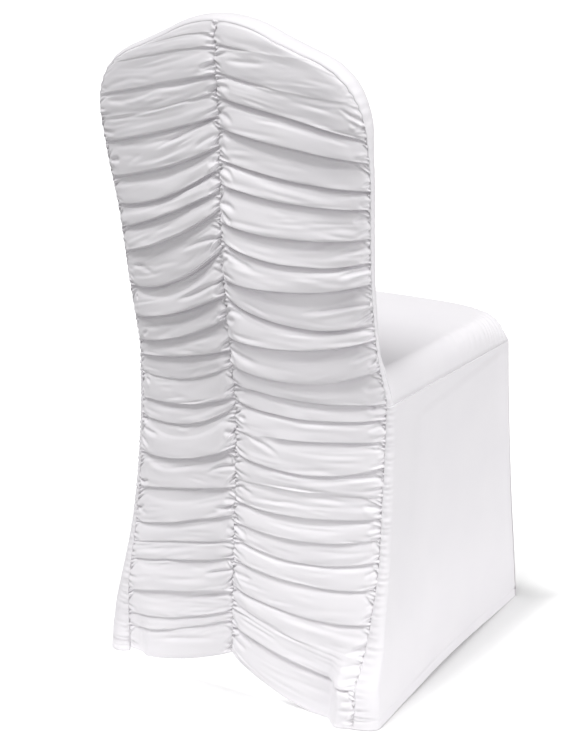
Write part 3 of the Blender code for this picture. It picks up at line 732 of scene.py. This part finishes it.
def swag_relief(creases, stations, lines, swags, shares, side, seed):
    """How far the cloth stands out in each swag, the crest of each, and its share of the droop."""
    spans = lines.shape
    depths, hollows = (np.array([row[i] for row in creases])[:, None] for i in (3, 4))
    uneven = 1 + 0.35 * wander(seed + 2, len(creases), 3, spans)
    hollow = hollows * np.sin(np.pi * np.clip(stations, 0.02, 0.98)) ** 0.6 * uneven
    hollow = np.clip(hollow, 0.02, 0.6)[swags]
    below = np.clip((shares[:, None] - hollow) / (1 - hollow), 0.0, 1.0)
    floor = HOLLOW_FLOOR * np.clip(shares[:, None] / hollow, 0.0, 1.0)
    swell = 1.0 + 0.16 * wander(seed + 3, len(creases), 4, spans)
    crest = SWAG_DEPTH[side] * (0.66 + 0.34 * eased(lines, 0.25, 0.52)) * depths * swell
    crest = crest * curve(SWAG_REACH, 1, stations)
    section = curve(SWAG_SECTION, 1, below)
    out = crest[swags] * np.where(below < 0.9, floor + (1 - floor) * section, section)
    return out, crest, section * eased(below, 0.3, 0.9)


def merge_soft(out, crest, soft, swags, shares, following):
    """Where a crease is soft, the swags above and below it run into each other."""
    preceding = np.maximum(swags - 1, 0)
    above = soft[swags] * (1 - shares[:, None]) ** 2
    beneath = soft[following] * shares[:, None] ** 2
    round_swag = crest[swags] * np.sin(np.pi * shares[:, None]) ** 0.8
    out += (above + beneath) * (round_swag - out)
    out += above * ((crest[swags] + crest[preceding]) / 2 - out)
    out += beneath * ((crest[swags] + crest[following]) / 2 - out)


def fine_relief(height, rows, stations, short_creases, seed):
    """Small unevenness of the cloth: wrinkles, tucks at both seams, short creases and streaks."""
    fine = 0.0006 * wander(seed + 4, 190, 12, height.shape) + 0.0012 * wander(seed + 5, 80, 7, height.shape)
    calm = 0.3 + 0.7 * eased(0.90 - height, 0.0, 0.10)
    out = fine * np.sin(np.pi * stations) ** 0.4 * calm * eased(0.92 - height, 0.0, 0.03)
    middle_column, side_column = (list(zip(rows, height[:, column])) for column in (0, -1))
    out -= tuck_depths(tuck_places(seed + 6, middle_column, **MIDDLE_TUCKS), rows, height, stations)
    out -= tuck_depths(tuck_places(seed + 7, side_column, **SIDE_TUCKS), rows, height, 1 - stations)
    out -= short_depths(short_creases, height, stations)
    return out - streak_depths(seed + 9, rows, height, stations) * calm


deepest = max(row[3] for row in RIGHT_CREASES) * SWAG_DEPTH[1.0]
print("deepest swag:", round(deepest * 1000, 1), "mm")

# %% Ruched half
def plain_depth(height, stations, side):
    """Depth of the cloth without its folds, from the middle seam to the side seam and over the foot."""
    middle = curve(MIDDLE_SEAM, 1, height)
    pocket = eased(stations, FOOT_STARTS, FOOT_FULL)
    tent = (curve(SIDE_SEAM, 2, height) - middle) * stations**TENT_POWER
    return middle + tent - foot_back(height, side) * pocket


def ruched_grid(creases, fades, short_creases, side, seed):
    """The points of one gathered half, from the crown to the hem."""
    close = np.linspace(0.0, 0.13, 27)
    stations = np.concatenate([close, np.linspace(0.13, 0.87, 50)[1:-1], 1 - close[::-1]])
    lines = wavering_lines(creases, stations, seed)
    swags, shares = grid_rows(creases)
    following = np.minimum(swags + 1, len(creases) - 1)
    rows = swags + shares
    height = lines[swags] + (lines[swags + 1] - lines[swags]) * shares[:, None]
    edge = np.array([row[2] for row in creases])
    edge = edge[swags] + (edge[swags + 1] - edge[swags]) * shares
    width = seam_half_width(edge, side)[:, None] * stations
    highest = outline_height(width) - OUTLINE_MARGIN
    height[1:, :-1] = np.clip(height[1:, :-1], 0.0, highest[1:, :-1])

    sharp = sharpness(creases, fades, stations, seed)
    soft = 0.95 * np.clip(1 - sharp / 0.6, 0.0, 1.0)
    soft[0] = soft[-1] = 0.0
    out, crest, low = swag_relief(creases, stations, lines, swags, shares, side, seed)
    merge_soft(out, crest, soft, swags, shares, following)
    hang = DROOP * (1 - soft) * np.concatenate([0 * crest[:1], crest[:-1]])
    hang[-1] = 0.0
    raised = hang[swags] * (1 - shares[:, None]) + hang[following] * shares[:, None]
    raised = np.minimum(raised, np.maximum(highest - height, 0.0))
    under_crease = (lines[swags] - 0.0012 - (height + raised)) / CREASE_WIDTH
    groove = CREASE_GROOVE[side] * (0.22 + 0.78 * eased(lines, 0.30, 0.55)) * sharp
    groove = groove * curve(SWAG_REACH, 1, stations)
    out -= groove[swags] * np.exp(-(under_crease**2))
    out += fine_relief(height, rows, stations, short_creases, seed)
    droop = DROOP * (1 - soft[following]) * crest[swags] * low
    droop *= (swags < len(creases) - 2)[:, None]

    zigzag = SEAM_ZIGZAG * np.sin(2 * np.pi * height[:, :1] / ZIGZAG_STEP + np.sin(height[:, :1] * 61))
    x = side * width + zigzag * np.exp(-((stations / 0.05) ** 2))
    x += side * side_wobble(height) * np.exp(-(((1 - stations) / 0.03) ** 2))
    return np.stack([x, plain_depth(height, stations, side) - out, height + raised - droop], -1)


def turned_edges(grid, side):
    """The same grid with its seams and its hem turned in."""
    middle, outer = [side * 0.0004, TURN_IN, 0.0], [-side * 0.0008, TURN_IN, 0.0]
    hem = ([0.0, 0.0012, 0.0006], [0.0, 0.0016, 0.016])
    return framed(grid, middle, outer, [0.0, 0.0016, 0.0018], hem)


INSIDE_OF_BACK = (0.0, 0.4, 0.45)
back_pieces = {}
for node, creases, fades, short_creases, side, seed in (
    ("back_right", RIGHT_CREASES, RIGHT_FADES, RIGHT_SHORT, 1.0, 11),
    ("back_left", LEFT_CREASES, LEFT_FADES, LEFT_SHORT, -1.0, 47),
):
    grid = ruched_grid(creases, fades, short_creases, side, seed)
    back_pieces[node] = cloth_grid("ruched_" + node, turned_edges(grid, side), INSIDE_OF_BACK, ruched_knit)

# %% [markdown]
# ## The smooth back, its edge and the crown
# One smooth piece covers the front of the back, goes round its padded edge and over the crown to the
# rear seam. It is a grid for the front with a band round its outline, so the roll of the padding comes
# from half a circle in the band.

# %% Tables of the smooth back
# The padded edge of the back: height, how much wider than the seam, how far its band swells, and depth
# before the seam
BACK_EDGE = in_metres(4, (
    (430, 5, 1.5, 8), (465, 1.5, 2, 8),
    (493, -1.5, 2, 10), (520, -4, 3, 14),
    (576, -6, 3.5, 19), (640, -7.5, 4, 22),
    (740, -7.5, 4, 23), (820, -4, 6.5, 29),
    (861, -1, 8, 35), (901, 0, 9, 40),
))
PADDING = 0.016
SEAT_HALF_WIDTH = 0.2045
SEAT_DEPTH = 0.3750
SEAT_ROLL = 0.026
CORNER_ROLL = 0.038


def rolled(distance, reach):
    """Share of the cushion's height at a distance from its edge."""
    left = 1 - np.clip(distance / reach, 0.0, 1.0)
    return np.sqrt(1 - left**2)


def seat_rise(across, along):
    """Share of the cushion's height over the seam, from the back (0) to the front (1)."""
    beside = (1 - np.abs(across)) * SEAT_HALF_WIDTH
    before = (1 - along) * SEAT_DEPTH
    from_corner = eased(np.maximum(beside, before), 0.03, 0.09)
    reach = CORNER_ROLL + (SEAT_ROLL - CORNER_ROLL) * from_corner
    return rolled(beside, reach) * rolled(before, reach)


def back_front(rising, across):
    """The padded front of the back: points for rows of side heights and stations across."""
    share = (rising - SEAT_SEAM) / (SHOULDER - SEAT_SEAM)
    middle = SEAT_TOP + (CROWN - SEAT_TOP) * share
    seat = seat_rise(across, 0.0)
    crown = 1 - across**2
    bend = np.clip(share * 3, 0.0, 1.0)
    height = rising + (middle - rising) * (seat * (1 - bend) + crown * bend)
    width = curve(SIDE_SEAM, 1, rising) + curve(BACK_EDGE, 1, rising)
    full = (1 - across**4) * np.sqrt(np.clip(1 - share**4, 0.0, 1.0))
    depth = curve(SIDE_SEAM, 2, rising) + curve(BACK_EDGE, 3, rising) + PADDING * full
    return np.stack([width * across, depth, height], -1)


print("padding:", PADDING * 1000, "mm")

# %% Smooth back
EDGE_STEPS = 12
# Where the crown's band narrows, the thread puckers it: height and depth of each pucker
SHOULDER_PUCKERS = ((0.816, 0.0060), (0.803, 0.0030))
PUCKER_WIDTH = 0.0030
BAND_TUCK = 0.0012
BAND_PUCKERS = 0.00035
BAND_PUCKER_STEP = 0.0083


def spread(count, crowd):
    """Stations from -1 to 1 that lie closer together at both ends."""
    t = np.linspace(-1, 1, count)
    return (1 - crowd) * t + crowd * np.sin(t * np.pi / 2)


def smooth_back():
    """The front of the back and the band round it, as points, faces and cloth coordinates."""
    across = spread(97, 0.7)
    rising = SEAT_SEAM + (SHOULDER - SEAT_SEAM) * (spread(151, 0.6) + 1) / 2
    front = back_front(rising[:, None], across)
    ease = (1 - across**6) * np.sin(np.pi * (rising - SEAT_SEAM) / (SHOULDER - SEAT_SEAM))[:, None] ** 0.5
    front[..., 1] += 0.0009 * wander(71, 12, 7, front.shape[:2]) * ease
    rows, columns = front.shape[:2]
    seam_side = np.stack([curve(SIDE_SEAM, 1, rising), curve(SIDE_SEAM, 2, rising), rising], -1)
    top = across[1:-1]
    top_height = CROWN - (CROWN - SHOULDER) * top**2
    reach = np.abs(top) ** TENT_POWER
    top_depth = curve(MIDDLE_SEAM, 1, top_height) * (1 - reach) + curve(SIDE_SEAM, 2, SHOULDER) * reach
    seam_top = np.stack([SIDE_SEAM[-1][1] * top, top_depth, top_height], -1)
    seam_side[:, 0] += side_wobble(rising)
    seam = np.concatenate([seam_side * [-1, 1, 1], seam_top, seam_side[::-1]])
    swell_side = curve(BACK_EDGE, 2, rising)
    swell = np.concatenate([swell_side, np.full(len(top), swell_side[-1]), swell_side[::-1]])
    run = unit(np.gradient(seam, axis=0))
    outward = unit(np.stack([-run[:, 2], np.zeros(len(run)), run[:, 0]], -1))
    around = np.concatenate([[0.0], np.cumsum(np.linalg.norm(np.diff(seam, axis=0), axis=1))])
    nearby = np.exp(-(((around[:, None] - around) / 0.012) ** 2)) * np.gradient(around)
    outward = unit(nearby @ outward)
    ring = np.array(
        [r * columns for r in range(rows)]
        + [(rows - 1) * columns + c for c in range(1, columns - 1)]
        + [r * columns + columns - 1 for r in reversed(range(rows))]
    )
    edge = front.reshape(-1, 3)[ring]
    turn = np.linspace(np.pi, 0.0, EDGE_STEPS + 1)[1:]
    forward = ((1 - np.cos(turn)) / 2)[None, :, None]
    bulge = swell[:, None] * np.sin(turn)
    uneven = 0.6 + 0.4 * np.sin(around * 71)
    puckers = np.sin(2 * np.pi * around / BAND_PUCKER_STEP + 1.3 * np.sin(around * 43)) * uneven
    bulge -= BAND_PUCKERS * puckers[:, None] * np.exp(-((turn / 0.9) ** 2)) * np.sin(turn) ** 0.5
    for place, depth in SHOULDER_PUCKERS:
        off = (seam[:, 2:] - place + 0.012 * (1 - turn / np.pi)) / PUCKER_WIDTH
        bulge -= depth * np.exp(-(off**2)) * np.exp(-((turn / 0.9) ** 2)) * np.sin(turn) ** 0.5
    band = seam[:, None] + (edge - seam)[:, None] * forward + outward[:, None] * bulge[..., None]
    at_crown = eased(seam[:, 2], SHOULDER - 0.03, SHOULDER)[:, None, None]
    depth_in = [0.0, 1.0, 0.0] * (TURN_IN + (0.0006 - TURN_IN) * at_crown)
    tucked = band[:, -1:] + outward[:, None] * (-BAND_TUCK + 0.0008 * at_crown) + depth_in
    band = np.concatenate([band, tucked], axis=1)
    return front, ring, band


def smooth_back_piece():
    front, ring, band = smooth_back()
    rows, columns = front.shape[:2]
    points = np.concatenate([front.reshape(-1, 3), band.reshape(-1, 3)])
    steps = band.shape[1]
    first = rows * columns
    index = np.concatenate([ring[:, None], first + np.arange(len(ring) * steps).reshape(-1, steps)], axis=1)
    strip = np.stack([index[:-1, :-1], index[1:, :-1], index[1:, 1:], index[:-1, 1:]], -1).reshape(-1, 4)
    front_lengths = cloth_lengths(front).reshape(-1, 2)
    around = np.concatenate([front.reshape(-1, 3)[ring][:, None], band], axis=1)
    away = np.cumsum(np.linalg.norm(np.diff(around, axis=1), axis=-1), axis=1)
    middle = np.array([0.0, 0.6 * (CROWN - SEAT_SEAM)])
    direction = unit(front_lengths[ring] - middle)
    band_lengths = front_lengths[ring][:, None] + direction[:, None] * away[..., None]
    quads = np.concatenate([grid_quads(rows, columns)[:, ::-1], strip])
    lengths = np.concatenate([front_lengths, band_lengths.reshape(-1, 2)])
    return cloth_mesh("smooth_back", points, quads, lengths, (0.0, -0.05, 0.6), smooth_knit)


smooth_back_cloth = smooth_back_piece()

# %% [markdown]
# ## The seat
# The seat cloth lies flat over the cushion and rolls down to a seam on three sides. Near the front
# corners the knit is eased into the seam, which leaves small upright gathers. They are soft ripples of
# uneven width that fade within a few centimetres, so each one gets its own seeded numbers.

# %% Front corner and front line of the skirt
# The front corner of the skirt: height, half width, depth, and how far the front line bows out
FRONT_CORNER = in_metres(4, (
    (0, 213, 440, -6), (96, 208.5, 432, -7),
    (166, 206.2, 423, -2), (250, 204.5, 412.5, 8),
    (350, 203.2, 401, 21), (400, 202.7, 396.5, 30),
    (430, 202.5, 394, 34),
))
FRONT_POWER = 3


def front_line(height, stations):
    """The front of the skirt at one height, from the left corner to the right one."""
    half = float(curve(FRONT_CORNER, 1, height))
    bow = float(curve(FRONT_CORNER, 3, height))
    depth = float(curve(FRONT_CORNER, 2, height)) + bow * (1 - np.abs(stations) ** FRONT_POWER)
    return np.stack([half * stations, depth, np.full(len(stations), height)], -1)


print("front bow at the seat:", FRONT_CORNER[-1][3] * 1000, "mm")

# %% Seat
GATHER_SPACING = (0.0062, 0.0118)
GATHER_HEIGHT = (0.0006, 0.0017)
GATHER_WIDTH = (0.0019, 0.0031)
GATHER_REACH = (0.012, 0.027)
INSIDE_OF_SEAT = (0.0, 0.2, 0.3)


def gathers(seed, along, from_seam, first, last):
    """Small ripples across a seam that eases the cloth in, no two alike."""
    random = np.random.default_rng(seed)
    rise = np.zeros_like(along)
    place = first
    while place < last:
        width, reach = random.uniform(*GATHER_WIDTH), random.uniform(*GATHER_REACH)
        slant = random.uniform(-0.25, 0.25)
        off = (along - place - slant * from_seam) / width
        fade = np.exp(-(((from_seam - 0.009) / reach) ** 2)) * eased(place - first, -0.01, 0.07)
        rise += random.uniform(*GATHER_HEIGHT) * furrow(off, 0.35, 1.9, 1.3) * fade
        place += random.uniform(*GATHER_SPACING)
    return rise


def seat_grid():
    """The seat from the back to its front seam, with rows closer together where it rolls down."""
    across = spread(141, 0.86)
    rolling = 0.78 + 0.22 * np.sin(np.linspace(0, np.pi / 2, 56))
    along = np.concatenate([np.linspace(0, 0.78, 50)[:-1], rolling])[:, None]
    rear = back_front(np.array([[SEAT_SEAM]]), across)[0]
    front = front_line(SEAT_SEAM, across)
    grid = rear + (front - rear) * along[..., None]
    grid[..., 2] = SEAT_SEAM + (SEAT_TOP - SEAT_SEAM) * seat_rise(across, along)
    flat = eased(1 - np.abs(across), 0.05, 0.35) * eased(1 - along, 0.03, 0.2) * eased(along, 0.0, 0.12)
    grid[..., 2] += 0.0007 * wander(83, 8, 8, grid.shape[:2]) * flat
    beside = (1 - np.abs(across)) * SEAT_HALF_WIDTH
    before = (1 - along) * SEAT_DEPTH
    normals = outward_normals(grid, INSIDE_OF_SEAT)
    y = grid[..., 1]
    x = grid[..., 0]
    ripples = np.zeros_like(x)
    for side, seed in ((1.0, 23), (-1.0, 29)):
        ripples += gathers(seed, y, beside, 0.165, 0.385) * eased(before, 0.0, 0.02) * (side * x > 0)
        ripples += gathers(seed + 1, side * x, before, 0.100, 0.195) * eased(beside, 0.0, 0.02)
    grid += normals * ripples[..., None]
    return grid


def seat_turned(grid):
    """The seat with its edges turned in under the seam."""
    left, right = [TURN_IN, 0.0, -0.001], [-TURN_IN, 0.0, -0.001]
    return framed(grid, left, right, [0.0, -0.001, -TURN_IN], ([0.0, -TURN_IN, -0.001],))


seat_cloth = cloth_grid("seat_cloth", seat_turned(seat_grid()), INSIDE_OF_SEAT, smooth_knit)

# %% [markdown]
# ## The skirt
# Three smooth pieces hang from the seat seam to the floor. Each side goes round its rear leg to meet the
# ruched back, where the gathering thread also puckers the smooth cloth. Below the seat rail and beside
# the leg the cloth is drawn in a little, which shades an arch on each side. The hem's stitching draws one
# shallow line, a little over a centimetre above the floor.

# %% Rear leg and side of the skirt
# How the side cloth goes round a rear leg: height, half width outside, reach of the round, and the
# angle at which it leaves the seam, from straight back (0) to sideways (90)
RIGHT_LEG = in_metres(3, (
    (0, 232.5, 23, 115.0), (35, 230, 23, 112.0),
    (55, 226.5, 20, 105.0), (70, 224, 16, 92.0),
    (90, 222, 13, 80.0), (120, 218.5, 12, 74.0),
    (200, 212.5, 12, 84.0), (300, 208, 13, 90.0),
    (430, 205.5, 10.5, 90.0),
))
LEFT_LEG = in_metres(3, (
    (0, 232.5, 27, 46.0), (30, 232.5, 24, 50.0),
    (60, 229, 18, 62.0), (120, 219, 13, 80.0),
    (200, 212.5, 12, 86.0), (300, 208, 13, 90.0),
    (430, 205.5, 10.5, 90.0),
))
# How far the side is drawn in between leg and corner: height, depth
SIDE_DRAW = in_metres(2, (
    (0, 3.5), (100, 6), (200, 7), (300, 5),
    (390, 1.5), (430, 0),
))
HEM_LIFT = 0.005
LEG_STEPS = 26
SIDE_COLUMNS = 110
SKIRT_ROWS = 190
ARCH_DEPTH = 0.0042
HEM_STITCHES = 0.0135
PUCKER_SPACING = (0.005, 0.012)
PUCKER_REACH = (0.014, 0.042)
PUCKER_DEPTH = (0.0010, 0.0028)
INSIDE_OF_SKIRT = (0.0, 0.2, 0.2)


def skirt_heights():
    """Heights of the rows of the skirt, closer together at the hem."""
    return np.concatenate([np.linspace(SEAT_SEAM, 0.028, SKIRT_ROWS - 24), np.linspace(0.028, 0.0, 25)[1:]])


def hem_line(heights):
    """The shallow line that the hem's stitching draws in the cloth."""
    return 0.0007 * np.exp(-(((heights - HEM_STITCHES) / 0.0016) ** 2))[:, None]


def leg_points(height, side):
    """Plan of the side cloth round the rear leg at one height, from the side seam to the side."""
    table = RIGHT_LEG if side > 0 else LEFT_LEG
    outside = float(curve(table, 1, height))
    reach = float(curve(table, 2, height))
    start = math.radians(float(curve(table, 3, height)))
    radius = (outside - float(seam_half_width(height, side))) / (1 + math.cos(start))
    turn = np.linspace(start, np.pi, LEG_STEPS)
    seam_depth = float(curve(SIDE_SEAM, 2, height) - foot_back(height, side))
    return np.stack([
        side * (outside - radius - radius * np.cos(turn)),
        seam_depth + reach * (math.sin(start) - np.sin(turn)),
        np.full(LEG_STEPS, height),
    ], -1)


def side_skirt_grid(side, seed):
    """One side of the skirt: rows from the seat seam to the hem, columns from the rear seam forwards."""
    heights = skirt_heights()
    stations = np.linspace(0, 1, SIDE_COLUMNS)[1:]
    rows = []
    for height in heights:
        leg = leg_points(height, side)
        across, depth = (float(curve(FRONT_CORNER, column, height)) for column in (1, 2))
        corner = np.array([side * across, depth, height])
        run = leg[-1] + (corner - leg[-1]) * stations[:, None]
        run[:, 0] -= side * float(curve(SIDE_DRAW, 1, height)) * (4 * stations * (1 - stations)) ** 0.8
        rows.append(np.concatenate([leg, run]))
    grid = np.array(rows)
    grid[-1, LEG_STEPS:, 2] = HEM_LIFT * (4 * stations * (1 - stations)) ** 2
    lift = grid[-1, :, 2] - heights[-1]
    at_hem = (np.arange(SKIRT_ROWS) == SKIRT_ROWS - 1)[:, None]
    grid[:, :, 2] += lift * eased(0.12 - heights, 0.0, 0.12)[:, None] - at_hem * lift
    share = np.concatenate([np.zeros(LEG_STEPS), stations])
    arch = eased(share, 0.12, 0.25) * eased(1 - share, 0.0, 0.10)
    start = 0.002 + 0.030 * (1 - share)
    below = eased((SEAT_SEAM - heights)[:, None] - start, 0.0, 0.020) * eased(heights, -0.02, 0.36)[:, None]
    inset = ARCH_DEPTH * below * arch
    between = eased(share, 0.05, 0.3) * eased(1 - share, 0.0, 0.1)
    inset += 0.0009 * wander(seed, 7, 9, grid.shape[:2]) * between
    inset += hem_line(heights)
    normals = outward_normals(grid, INSIDE_OF_SKIRT)
    from_seam = np.pad(np.cumsum(np.linalg.norm(np.diff(grid, axis=1), axis=-1), axis=1), ((0, 0), (1, 0)))
    random = np.random.default_rng(seed + 1)
    height = SEAT_SEAM - 0.006
    while height > 0.004:
        reach = random.uniform(*PUCKER_REACH)
        t = np.clip(from_seam / reach, 0, 1)
        strength = random.uniform(*PUCKER_DEPTH) * np.clip(t / 0.15, 0, 1) * (1 - t) ** 1.3
        d = (grid[..., 2] - height - 0.10 * from_seam * random.uniform(-1, 1)) / 0.0016
        inset += strength * furrow(d, 0.6, 1.8, 1.2)
        height -= random.uniform(*PUCKER_SPACING)
    return grid - normals * inset[..., None]


def skirt_turned(grid):
    """A piece of the skirt with its seams and its hem turned in."""
    inner = -outward_normals(grid, INSIDE_OF_SKIRT)
    left, right = inner[:, :1] * TURN_IN, inner[:, -1:] * TURN_IN
    inner = np.concatenate([inner[:, :1], inner, inner[:, -1:]], axis=1)
    hem = (inner[-1:] * 0.0012 + [0.0, 0.0, 0.0006], inner[-1:] * 0.0016 + [0.0, 0.0, 0.016])
    return framed(grid, left, right, inner[:1] * TURN_IN, hem)


skirt_sides = {}
for node, side, seed in (("skirt_right", 1.0, 101), ("skirt_left", -1.0, 131)):
    grid = side_skirt_grid(side, seed)
    skirt_sides[node] = cloth_grid(node + "_cloth", skirt_turned(grid), INSIDE_OF_SKIRT, smooth_knit)

# %% Front of the skirt
def front_skirt_grid():
    """The front of the skirt, drawn in a little below the seat."""
    stations = spread(121, 0.5)
    heights = skirt_heights()
    grid = np.array([front_line(height, stations) for height in heights])
    lift = HEM_LIFT * (1 - stations**2) ** 2
    grid[:, :, 2] += lift * eased(0.12 - heights, 0.0, 0.12)[:, None]
    arch = eased(1 - np.abs(stations), 0.05, 0.35)
    below = eased(SEAT_SEAM - heights, 0.010, 0.060) * eased(heights, -0.02, 0.22)
    inset = 0.003 * below[:, None] * arch + 0.0012 * wander(151, 6, 8, grid.shape[:2]) * arch
    inset += hem_line(heights)
    normals = outward_normals(grid, INSIDE_OF_SKIRT)
    return grid - normals * inset[..., None]


front_grid = skirt_turned(front_skirt_grid())
front_cloth = cloth_grid("skirt_front_cloth", front_grid, INSIDE_OF_SKIRT, smooth_knit)

# %% [markdown]
# ## Join the pieces to the frame
# Each piece rides on the one body and stands for its solid, which is hidden.

PIECES = (
    (back_pieces["back_right"], "back_right", "ruched_cloth", (0.21, 1.35), "gathered",
     ["skirt_right_cloth", "smooth_back"]),
    (back_pieces["back_left"], "back_left", "ruched_cloth", (0.21, 1.35), "gathered",
     ["skirt_left_cloth", "smooth_back"]),
    (smooth_back_cloth, "inside_back", "smooth_cloth", (0.50, 0.52), "stretched",
     ["ruched_back_right", "ruched_back_left"]),
    (seat_cloth, "seat_panel", "smooth_cloth", (0.48, 0.44), "stretched",
     ["smooth_back", "skirt_front_cloth"]),
    (skirt_sides["skirt_right"], "skirt_right", "smooth_cloth", (0.55, 0.43), "stretched", ["seat_cloth"]),
    (skirt_sides["skirt_left"], "skirt_left", "smooth_cloth", (0.55, 0.43), "stretched", ["seat_cloth"]),
    (front_cloth, "skirt_front", "smooth_cloth", (0.43, 0.43), "stretched", ["seat_cloth"]),
)
for piece, node, slot, flat, held, neighbours in PIECES:
    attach(piece, "root")
    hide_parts(node)
print("sheets:", len(PIECES))
